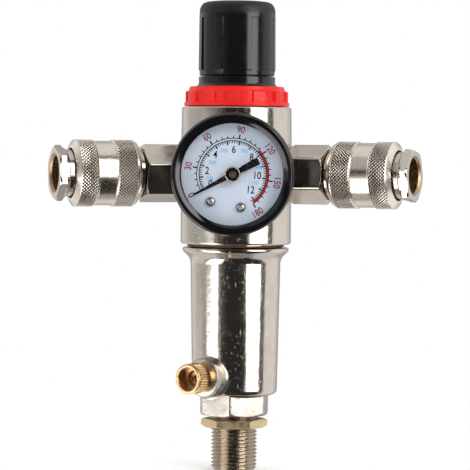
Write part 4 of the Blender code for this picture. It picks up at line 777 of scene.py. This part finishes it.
nipple_outline = [(4.6, 0.0), (7.2, 0.0), (NIPPLE_R, 1.2), (NIPPLE_R, 32.6), (7.73, 33.2), (5.8, 33.2)]
nipple_outline = divide(nipple_outline + [(5.8, 40.0), (4.6, 40.0)], 0.11, 7.1)
nipple_parts = revolve(nipple_outline, even(96), thread_shape)
piece(
    "nipple_threaded", nipple_parts, THREAD_NICKEL, ["inlet_nipple"],
    sharp_deg=50.0, inside=(5.2, SHADED_BORE_BRASS),
)

NUT_AF = 21.06
nut_outline = [(8.5, 15.6), (10.75, 15.6), (12.35, 16.4), (12.35, 18.25), (10.9, 18.7), (8.5, 18.7)]
nut_outline = divide(soften(nut_outline, 0.1), 0.22, 9.0)
nut_parts = revolve(nut_outline, hex_angles(0.0), hexagon(NUT_AF, 0.0, 0.1))
piece("nut_hexagon", nut_parts, NUT_BRASS, ["jam_nut"], sharp_deg=25.0)


# Drain valve with its straight knurl

DRAIN_TEETH = 34
DRAIN_TOOTH_DEPTH = 0.38
DRAIN_KNURL = (22.55, 27.0)


def drain_shape(radius, height, angle):
    """Cuts straight grooves between the teeth."""
    tooth = np.abs(np.mod(angle * DRAIN_TEETH / FULL_TURN, 1.0) * 2.0 - 1.0)
    inside = (height > DRAIN_KNURL[0]) & (height < DRAIN_KNURL[1]) & (radius > 5.3)
    return np.where(inside, radius - DRAIN_TOOTH_DEPTH * np.clip(1.25 * tooth - 0.1, 0.0, 1.0), radius)


drain_outline = [
    (0.0, 17.0), (3.5, 17.0), (3.5, 19.8), (3.8, 19.8), (4.4, 21.4), (5.0, 22.2), (5.35, 22.3),
    (5.5, 22.55), (5.5, 22.7), (5.5, 24.8), (5.5, 26.9), (5.5, 27.0), (5.2, 27.1), (5.15, 27.3),
    (5.35, 27.45), (5.35, 27.9), (5.15, 28.1), (4.3, 28.1), (4.15, 27.9), (4.15, 24.5), (2.9, 24.5),
    (2.6, 24.2), (2.6, 22.4), (1.5, 22.0), (1.5, 18.2), (0.0, 18.0),
]
# The knurl's grooves take painted shade, down to 0.3 of the brass.
DRAIN_BRASS = knurled(
    "brass_turned", BRASS, 0.26, drain_way, DRAIN_TEETH, [DRAIN_KNURL], matt=0.04, low=0.3
)
drain_parts = revolve(soften(drain_outline, 0.1), even(DRAIN_TEETH * 6), drain_shape)
piece("drain_knurled", drain_parts, DRAIN_BRASS, ["drain_valve"], way=drain_way, sharp_deg=40.0)


# Gauge: case, rolled bezel, pane, dial with its printed scale, screws and needle

case_outline = [(5.1, 27.0), (18.4, 27.0), (19.9, 28.5), (19.9, 43.0), (18.9, 43.0), (18.9, 28.6)]
case_outline = soften(case_outline + [(17.9, 28.0), (5.1, 28.0)], 0.4)
piece("case_drawn", revolve(case_outline), CASE_BLACK, ["gauge_case"], way=FRONT)
bezel_outline = [
    (20.2, 39.5), (21.1, 39.5), (21.2, 41.3), (21.5, 41.5), (21.65, 41.9), (21.65, 42.6), (21.4, 43.0),
    (21.15, 43.15), (21.15, 43.6), (21.4, 44.0), (21.4, 45.4), (21.1, 46.1), (20.6, 46.5), (20.2, 46.5),
    (19.3, 46.2), (18.5, 45.7), (17.75, 45.15), (17.75, 44.95), (19.3, 44.95), (20.2, 45.1),
]
bezel_parts = revolve(soften(bezel_outline, 0.15), even(192))
piece("bezel_rolled", bezel_parts, PAINT_BLACK, ["gauge_bezel"], way=FRONT)
lens_outline = soften([(0.0, 43.3), (19.8, 43.3), (19.8, 44.8), (0.0, 44.8)], 0.1)
piece("lens_pane", revolve(lens_outline), CLEAR, ["gauge_lens"], way=FRONT)
dial_outline = soften([(1.2, 38.4), (18.4, 38.4), (18.4, 38.9), (1.2, 38.9)], 0.08)
piece("dial_plate", revolve(dial_outline), DIAL_PAINT, ["gauge_dial"], way=FRONT)

PRINT_LOW = 38.9
PRINT_HIGH = 38.93
CAPITAL_SHARE = 0.7
ARC_STEP_DEG = 3.0
FIRST_MARK_DEG = 207.0
OUTER_MARK_DEG = 170.0
OUTER_STEP_DEG = 45.0
OUTER_TICK_DEG = OUTER_STEP_DEG / 5.0
INNER_UNIT_DEG = 21.4
SLANT_DEG = -4.0
OUTER_LONG = (12.6, 14.2, 0.5)
OUTER_SHORT = (12.6, 13.5, 0.34)
INNER_LONG = (10.3, 11.8, 0.5)
INNER_SHORT = (10.85, 11.8, 0.33)
RED_HIGH = 2.35
BLACK_HIGH = 2.6
BLUE_HIGH = 1.45


def polar(radius, angle_deg):
    angle = math.radians(angle_deg)
    return (radius * math.cos(angle), radius * math.sin(angle))


def arc_band(inner, outer, start_deg, end_deg):
    """Thin printed band between two radii and two angles."""
    steps = max(8, int(abs(end_deg - start_deg) / ARC_STEP_DEG))
    turns = [start_deg + (end_deg - start_deg) * step / steps for step in range(steps + 1)]
    edges = ((outer, PRINT_LOW), (inner, PRINT_LOW), (inner, PRINT_HIGH), (outer, PRINT_HIGH))
    points = [(*polar(radius, turn), height) for radius, height in edges for turn in turns]
    count = steps + 1
    faces = quads(4, count, True, False)
    for step in (0, steps):
        faces.append((step, count + step, 2 * count + step, 3 * count + step))
    return points, faces


def tick(angle_deg, inner, outer, width):
    """Printed mark that points at the dial's centre."""
    out = Vector(polar(1.0, angle_deg))
    side = Vector((-out.y, out.x)) * (width / 2.0)
    corners = [out * inner - side, out * outer - side, out * outer + side, out * inner + side]
    return slab([tuple(corner) for corner in corners], PRINT_LOW, PRINT_HIGH)


black_marks = [arc_band(12.46, 12.76, FIRST_MARK_DEG, -55.0), arc_band(11.62, 11.92, FIRST_MARK_DEG, -53.0)]
for step in range(26):
    size = OUTER_SHORT if step % 5 else OUTER_LONG
    black_marks.append(tick(OUTER_MARK_DEG - OUTER_TICK_DEG * step, *size))
for step in (4, 1, 2, 3):
    angle_deg = OUTER_MARK_DEG + (FIRST_MARK_DEG - OUTER_MARK_DEG) * step / 4
    black_marks.append(tick(angle_deg, *OUTER_SHORT))
for step in range(62):
    size = INNER_SHORT if step % 5 else INNER_LONG
    black_marks.append(tick(FIRST_MARK_DEG - INNER_UNIT_DEG * step / 5, *size))
piece("dial_marks", join(*black_marks), INK_BLACK, way=FRONT, body="root")
red_band = arc_band(11.9, 12.5, 43.0, -54.0)
piece("dial_red_band", red_band, INK_ARC, way=FRONT, body="root")


def numbers(name, labels, height, look, narrow=0.85, bold=0.05):
    """Flat numbers on the dial. Each label is (text, radius, place_deg, turn_deg)."""
    work = bmesh.new()
    for text, radius, place_deg, turn_deg in labels:
        curve = bpy.data.curves.new(name, "FONT")
        curve.body = text
        curve.size = height / CAPITAL_SHARE
        curve.align_x = "CENTER"
        curve.align_y = "CENTER"
        curve.resolution_u = 3
        curve.extrude = 0.015
        curve.offset = bold
        holder = add_object(name, curve)
        bpy.context.view_layer.update()
        flat = bpy.data.meshes.new_from_object(holder.evaluated_get(bpy.context.evaluated_depsgraph_get()))
        place = Matrix.Translation((*polar(radius, place_deg), PRINT_LOW + 0.02))
        turn = Matrix.Rotation(math.radians(turn_deg), 4, "Z")
        flat.transform(Matrix.Scale(MM, 4) @ place @ turn @ Matrix.Diagonal((narrow, 1.0, 1.0, 1.0)))
        work.from_mesh(flat)
        bpy.data.objects.remove(holder)
        bpy.data.curves.remove(curve)
        bpy.data.meshes.remove(flat)
    bmesh.ops.remove_doubles(work, verts=work.verts, dist=WELD)
    mesh = bpy.data.meshes.new(name)
    work.to_mesh(mesh)
    work.free()
    mesh.transform(FRONT)
    mesh.materials.append(look)
    made = add_object(name, mesh)
    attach(made, "root")


outer_numbers = [("0", 16.0, 207.0, 117.0)]
for step in range(5):
    place_deg = OUTER_MARK_DEG - OUTER_STEP_DEG * step
    outer_numbers.append((str(30 * (step + 1)), 15.7, place_deg, place_deg - 90.0))
outer_numbers.append(("180", 16.0, -57.0, 35.0))
numbers("dial_numbers_red", outer_numbers, RED_HIGH, INK_RED)
inner_places = [(8.6, 204.0), (9.05, 173.0), (9.1, 132.5), (8.6, 88.0)]
inner_places += [(8.8, 42.0), (8.5, -3.0), (8.3, -41.5)]
inner_numbers = [(str(2 * step), *place, SLANT_DEG) for step, place in enumerate(inner_places)]
numbers("dial_numbers_black", inner_numbers, BLACK_HIGH, INK_BLACK, narrow=0.8)
blue_places = [(8.3, 191.0), (8.1, 151.0), (8.8, 111.0), (9.0, 64.5), (9.4, 15.0), (7.9, -22.0)]
blue_numbers = [(str(100 + 200 * step), *place, SLANT_DEG) for step, place in enumerate(blue_places)]
numbers("dial_numbers_blue", blue_numbers, BLUE_HIGH, INK_BLUE, bold=0.03)

head = [(0.0, 38.0), (0.6, 38.0), (0.6, 39.2), (1.72, 39.2), (1.68, 39.6), (1.3, 40.2)]
head = soften(head + [(0.8, 40.5), (0.5, 40.5), (0.35, 40.15), (0.0, 40.1)], 0.12)
for side in ("left", "right"):
    name = f"dial_screw_{side}"
    low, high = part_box(name)
    middle = (low + high) / 2.0
    place = Matrix.Translation((middle.x, 0.0, middle.z - GAUGE_Z * MM)) @ FRONT
    piece(f"{side}_dial_screw", revolve(head, even(40)), SCREW_STEEL, [name], way=place)

needle_way = FRONT @ Matrix.Rotation(math.radians(NEEDLE_REST_DEG), 4, "Z")
blade = [
    (-10.3, -1.3), (-4.2, -1.15), (-3.8, -0.95), (2.0, -0.95), (15.4, -0.3), (15.4, 0.3), (2.0, 0.95),
    (-3.8, 0.95), (-4.2, 1.15), (-10.3, 1.3),
]
hub = [(0.9, 40.8), (2.55, 40.8), (2.55, 41.9), (2.35, 42.15), (1.9, 42.2), (1.7, 41.9), (0.9, 41.9)]
needle_parts = join(slab(blade, 41.2, 41.55), revolve(soften(hub, 0.08), even(64)))
piece("needle_blade", needle_parts, NEEDLE_BLACK, ["gauge_needle"], way=needle_way)
rim = soften([(2.3, 41.6), (2.72, 41.6), (2.75, 42.0), (2.62, 42.2), (2.36, 42.2), (2.3, 42.0)], 0.08)
piece("needle_rim", revolve(rim, even(64)), SCREW_STEEL, way=needle_way, body="needle")
cap = soften([(0.0, 41.3), (1.6, 41.3), (1.6, 42.1), (1.3, 42.5), (0.0, 42.56)], 0.08)
piece("needle_cap", revolve(cap, even(48)), DARK_BRONZE, way=needle_way, body="needle")


# Couplers

SLEEVE_R = 12.0
KNURL_TEETH = 60
KNURL_DEPTH = 0.26
KNURL_STEP = SLEEVE_R * math.pi / KNURL_TEETH
KNURL_START = 40.5
KNURL_BANDS = ((KNURL_START, KNURL_START + 10.5 * KNURL_STEP), (KNURL_START + 23.0 * KNURL_STEP, 60.75))
GROOVE_HALF = 0.3
ADAPTER_AF = 19.0
NOSE_BACK_S = 64.2
NOSE_AF = 17.5


def knurl_line(low, high):
    """Outline of a knurled band, with points a quarter of a diamond apart."""
    count = round((high - low) / KNURL_STEP * 2.0)
    return [(SLEEVE_R, height) for height in np.linspace(low, high, count + 1)]


def groove(share):
    """1 in the bottom of a groove, which lies at each whole number, and 0 on the flat between two."""
    off = np.abs(share - np.round(share))
    return np.clip(1.0 - off / GROOVE_HALF, 0.0, 1.0)


def sleeve_shape(radius, height, angle):
    """Cuts two sets of slanting grooves into the knurled bands."""
    column = angle / FULL_TURN * KNURL_TEETH
    row = (height - KNURL_START) / KNURL_STEP / 2.0
    depth = np.maximum(groove(column + row), groove(column - row))
    inside = np.zeros(radius.shape, bool)
    for low, high in KNURL_BANDS:
        inside |= (height > low - 1e-3) & (height < high + 1e-3) & (radius > SLEEVE_R - 0.05)
    return np.where(inside, radius - KNURL_DEPTH * depth, radius)


sleeve_outline = [(10.4, 38.6), (11.0, 38.6), (11.15, 38.7), (11.85, 39.75), (12.0, 40.1), (12.0, 40.3)]
sleeve_outline += knurl_line(*KNURL_BANDS[0])
sleeve_outline += [(12.0, 47.25), (11.9, 47.35), (11.5, 47.45), (11.4, 47.6), (11.4, 47.75), (11.55, 47.95)]
sleeve_outline += [(11.55, 54.1), (11.4, 54.3), (11.4, 54.45), (11.5, 54.6), (11.9, 54.7), (12.0, 54.8)]
sleeve_outline += knurl_line(*KNURL_BANDS[1])
sleeve_outline += [
    (12.0, 60.95), (11.85, 61.15), (9.95, 62.35), (9.7, 62.5), (9.15, 62.5), (9.0, 62.35), (9.0, 61.4),
    (9.9, 61.4), (9.9, 60.6), (9.0, 58.4), (9.0, 55.5), (10.4, 55.5), (10.4, 40.6), (10.9, 40.6),
    (10.9, 39.2), (10.4, 39.2),
]
adapter_outline = [
    (4.0, 27.0), (4.0, 13.0), (6.58, 13.0), (6.58, 21.8), (9.3, 21.8), (10.75, 22.55), (10.75, 35.6),
    (9.3, 36.4), (7.6, 36.4), (7.6, 27.0),
]
adapter_outline = divide(soften(adapter_outline, 0.12), 0.2, 9.0)
barrel_outline = [
    (3.2, 27.3), (7.3, 27.3), (7.3, 36.7), (8.4, 36.7), (8.4, 40.6), (10.1, 40.6), (10.1, 42.2),
    (8.4, 42.2), (8.4, 64.4), (8.7, 64.75), (10.1, 65.75), (10.3, 66.0), (10.3, 67.5), (9.3, 68.3),
    (7.05, 68.3), (6.25, 67.5), (6.25, 53.5), (7.4, 53.5), (7.4, 50.5), (6.25, 50.5), (6.25, 35.5),
    (3.2, 35.5),
]


def nose_shape(turn_deg):
    """Shape rule for a barrel that is round but for a hexagon at its mouth."""
    flats = hexagon(NOSE_AF, turn_deg, 0.15)

    def shape(radius, height, angle):
        return np.where(height > NOSE_BACK_S, flats(radius, height, angle), radius)

    return shape


for side, sign in SIDES:
    way = along(sign * COUPLER_SWING_DEG, PORT_Z)
    adapter_turn = ADAPTER_TURN_DEG[side]
    adapter_shape = hexagon(ADAPTER_AF, adapter_turn, 0.25)
    adapter_parts = revolve(adapter_outline, hex_angles(adapter_turn), adapter_shape)
    piece(
        f"{side}_adapter_hexagon", adapter_parts, TURNED_NICKEL, [f"{side}_adapter"],
        way=way, sharp_deg=25.0,
    )
    nose_turn = NOSE_TURN_DEG[side]
    barrel_parts = revolve(soften(barrel_outline, 0.15), hex_angles(nose_turn), nose_shape(nose_turn))
    piece(
        f"{side}_barrel_turned", barrel_parts, TURNED_NICKEL, [f"{side}_barrel"],
        way=way, inside=(7.45, SHADED_BORE_BRASS),
    )
    # The sleeve's colour is nickel brightened 1.38 times, a painted sheen. Its grooves take painted shade,
    # down to 0.13 of that.
    sleeve_look = knurled(
        f"nickel_knurled_{side}", shade(NICKEL, 1.38), 0.22, way, KNURL_TEETH, KNURL_BANDS,
        matt=0.1, low=0.13, first=KNURL_START, step=KNURL_STEP,
    )
    sleeve_parts = revolve(sleeve_outline, even(4 * KNURL_TEETH), sleeve_shape)
    piece(
        f"{side}_sleeve_knurled", sleeve_parts, sleeve_look, [f"{side}_sleeve"],
        way=way, sharp_deg=25.0,
    )


# Springs: copies of the CAD ones, in the steel look

def spring(node):
    """Copy of a CAD spring in the steel look, fixed to the root body, with the CAD node hidden."""
    mesh = cad[node].data.copy()
    mesh.materials.clear()
    mesh.materials.append(SPRING_STEEL)
    made = add_object(f"{node}_wound", mesh)
    made.matrix_world = cad[node].matrix_world
    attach(made, "root")
    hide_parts(node)
    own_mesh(made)


spring("main_spring")
spring("main_valve_spring")
for side, sign in SIDES:
    spring(f"{side}_sleeve_spring")
    spring(f"{side}_coupler_valve_spring")


# CAD nodes that stay: each takes the look of its material slot

SLOT_LOOKS = {
    "nickel": TURNED_NICKEL,
    "black_plastic": KNOB_BLACK,
    "inner_plastic": INNER_BLACK,
    "red_plastic": RED,
    "pale_brass": NUT_BRASS,
    "brass": DRAIN_BRASS,
    "sintered_bronze": BRONZE,
    "steel": SPRING_STEEL,
    "black_rubber": BLACK_RUBBER,
    "brown_rubber": BROWN_RUBBER,
    "dial_face": DIAL_PAINT,
    "clear_lens": CLEAR,
}
for node in cad.values():
    for holder in node.material_slots:
        known = holder.material.name.split(".")[0] if holder.material else ""
        holder.material = SLOT_LOOKS.get(known, SPRING_STEEL)


# Studio: white world, pale floor, soft lamps, and a sphere of light that only reflections see

WORLD_DIFFUSE = 0.5
world = bpy.data.worlds.new("studio")
scene.world = world
sky = emptied(world)
path = sky.add("ShaderNodeLightPath")
seen = sky.larger(path.outputs["Is Camera Ray"], path.outputs["Is Glossy Ray"])
through = sky.larger(seen, path.outputs["Is Transmission Ray"])
strength = sky.add("ShaderNodeMapRange", {"Value": through, "To Min": WORLD_DIFFUSE, "To Max": 1.0})
white = {"Color": (1.0, 1.0, 1.0, 1.0), "Strength": strength.outputs["Result"]}
background = sky.add("ShaderNodeBackground", white)
sky.add("ShaderNodeOutputWorld", {"Surface": background.outputs[0]})

scene.view_settings.view_transform = "Standard"

FLOOR_HALF = 3.0
FLOOR_Z = -0.0001
FADE_START = 0.02
FADE_END = 0.05
FLOOR_LIFT = 0.2
floor_mesh = bpy.data.meshes.new("floor")
corners = [(x * FLOOR_HALF, y * FLOOR_HALF, FLOOR_Z) for x, y in ((-1, -1), (1, -1), (1, 1), (-1, 1))]
floor_mesh.from_pydata(corners, [], [(0, 1, 2, 3)])
floor = add_object("floor", floor_mesh)
floor.visible_glossy = False
floor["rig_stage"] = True
floor_look = bpy.data.materials.new("floor_pale")
floor_mesh.materials.append(floor_look)
ground = emptied(floor_look)
place = ground.add("ShaderNodeTexCoord").outputs["Object"]
distance = ground.add("ShaderNodeVectorMath", {0: place}, operation="LENGTH").outputs["Value"]
reach = {"Value": distance, "From Min": FADE_START, "From Max": FADE_END}
fade = ground.add("ShaderNodeMapRange", reach, interpolation_type="SMOOTHSTEP")
seen = ground.add("ShaderNodeLightPath").outputs["Is Camera Ray"]
share = ground.product(fade.outputs["Result"], seen)
pale = ground.add("ShaderNodeBsdfDiffuse", {"Color": (0.86, 0.86, 0.86, 1.0)})
lift = ground.add("ShaderNodeEmission", {"Strength": ground.product(seen, FLOOR_LIFT)})
both = ground.add("ShaderNodeAddShader", {0: pale.outputs[0], 1: lift.outputs[0]})
white = ground.add("ShaderNodeEmission", {"Strength": 1.0})
mixed = ground.add("ShaderNodeMixShader", {0: share, 1: both.outputs[0], 2: white.outputs[0]})
ground.add("ShaderNodeOutputMaterial", {"Surface": mixed.outputs[0]})


def lamp(name, place, size, power):
    """Round soft lamp aimed at the middle of the object. Reflections don't show it."""
    light = bpy.data.lights.new(name, "AREA")
    light.shape = "DISK"
    light.size = size
    light.energy = power
    made = add_object(name, light)
    made.location = place
    made.rotation_mode = "QUATERNION"
    made.rotation_quaternion = (Vector(MIDDLE) - Vector(place)).to_track_quat("-Z", "Y")
    made.visible_glossy = False


MIDDLE = (0.0, 0.0, 0.09)
lamp("key", (0.95, -1.15, 0.85), 0.6, 9.0)
lamp("fill", (-1.1, -0.95, 0.45), 0.7, 4.0)
lamp("front", (0.15, -1.7, 0.35), 0.8, 3.5)
lamp("top", (0.1, 0.1, 1.6), 1.0, 6.0)
lamp("back_left", (-0.9, 1.2, 0.7), 0.7, 6.0)
lamp("back_right", (0.9, 1.2, 0.7), 0.7, 6.0)

SURROUND_FAR = 1.8
SURROUND_STEP_DEG = 1.25
SURROUND_BASE = 0.72


def cover(offset, soft):
    """1 well inside an edge and 0 well outside it, with a soft step between. offset is positive outside."""
    share = np.clip(0.5 - offset / soft, 0.0, 1.0)
    return share * share * (3.0 - 2.0 * share)


def surround(boxes):
    """Sphere of light round the object that only reflections see.

    Each box is (middle, half, low, high, strength, side_soft, end_soft, slant), in degrees round from -Y
    and up from level. slant is how much lower its top edge is at the left side than in the middle.
    """
    turns = np.arange(0.0, 360.0, SURROUND_STEP_DEG)
    rises = np.arange(-90.0, 90.1, SURROUND_STEP_DEG)
    turn, rise = np.meshgrid(turns, rises)
    glow = np.full(turn.shape, SURROUND_BASE)
    for middle, half, low, high, strength, side_soft, end_soft, slant in boxes:
        off = np.mod(turn - middle + 180.0, 360.0) - 180.0
        tilt = slant * np.minimum(off / half, 0.0)
        share = cover(np.abs(off) - half, side_soft)
        share = share * cover(rise - high - tilt, end_soft) * cover(low - rise, end_soft)
        glow = glow * (1.0 - share) + strength * share
    flat = np.cos(np.radians(rise)) * SURROUND_FAR
    x = np.sin(np.radians(turn)) * flat
    y = -np.cos(np.radians(turn)) * flat
    z = np.sin(np.radians(rise)) * SURROUND_FAR + MIDDLE[2]
    mesh = bpy.data.meshes.new("surroundings")
    points = np.stack([x, y, z], axis=-1).reshape(-1, 3).tolist()
    mesh.from_pydata(points, [], quads(len(rises), len(turns), False, True))
    strengths = mesh.attributes.new("glow", "FLOAT", "POINT")
    strengths.data.foreach_set("value", glow.ravel().astype(np.float32))
    look = bpy.data.materials.new("surroundings")
    nodes = emptied(look)
    read = nodes.add("ShaderNodeAttribute", attribute_name="glow")
    shine = nodes.add("ShaderNodeEmission", {"Strength": read.outputs["Fac"]})
    nodes.add("ShaderNodeOutputMaterial", {"Surface": shine.outputs[0]})
    look.cycles.emission_sampling = "NONE"
    mesh.materials.append(look)
    made = add_object("surroundings", mesh)
    for ray in ("camera", "diffuse", "shadow", "volume_scatter"):
        setattr(made, f"visible_{ray}", False)
    made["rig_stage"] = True


# In order: below; behind, in three greys; a grey at the left; the dark room in front; a level band and an
# upper patch at its left; a dark strip at the right; a tall soft box at the right; and three soft boxes low
# at the left.
BOXES = [
    (0.0, 180.0, -95.0, -68.0, 0.33, 10.0, 8.0, 0.0),
    (180.0, 30.0, -40.0, 50.0, 0.45, 12.0, 12.0, 0.0),
    (-132.0, 12.0, -40.0, 50.0, 0.82, 8.0, 8.0, 0.0),
    (110.0, 26.0, -40.0, 50.0, 0.92, 8.0, 8.0, 0.0),
    (-79.0, 15.0, -72.0, 40.0, 0.41, 6.0, 6.0, 0.0),
    (9.0, 75.0, -75.0, 62.0, 0.03, 5.0, 5.0, 0.0),
    (-79.0, 37.0, -6.0, 5.5, 0.5, 52.0, 1.6, 0.0),
    (-60.0, 30.0, 20.0, 62.0, 0.45, 10.0, 12.0, 0.0),
    (77.0, 7.0, -70.0, 50.0, 0.13, 3.0, 5.0, 0.0),
    (50.5, 18.0, -10.0, 46.0, 4.1, 4.0, 5.0, 0.0),
    (-57.0, 14.0, -58.0, -3.0, 2.6, 2.5, 1.4, 5.0),
    (-46.0, 9.5, -60.0, -10.0, 2.6, 4.0, 4.0, 0.0),
    (-72.0, 6.0, -58.0, -7.1, 3.2, 2.0, 1.2, 0.0),
]
surround(BOXES)

low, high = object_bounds()
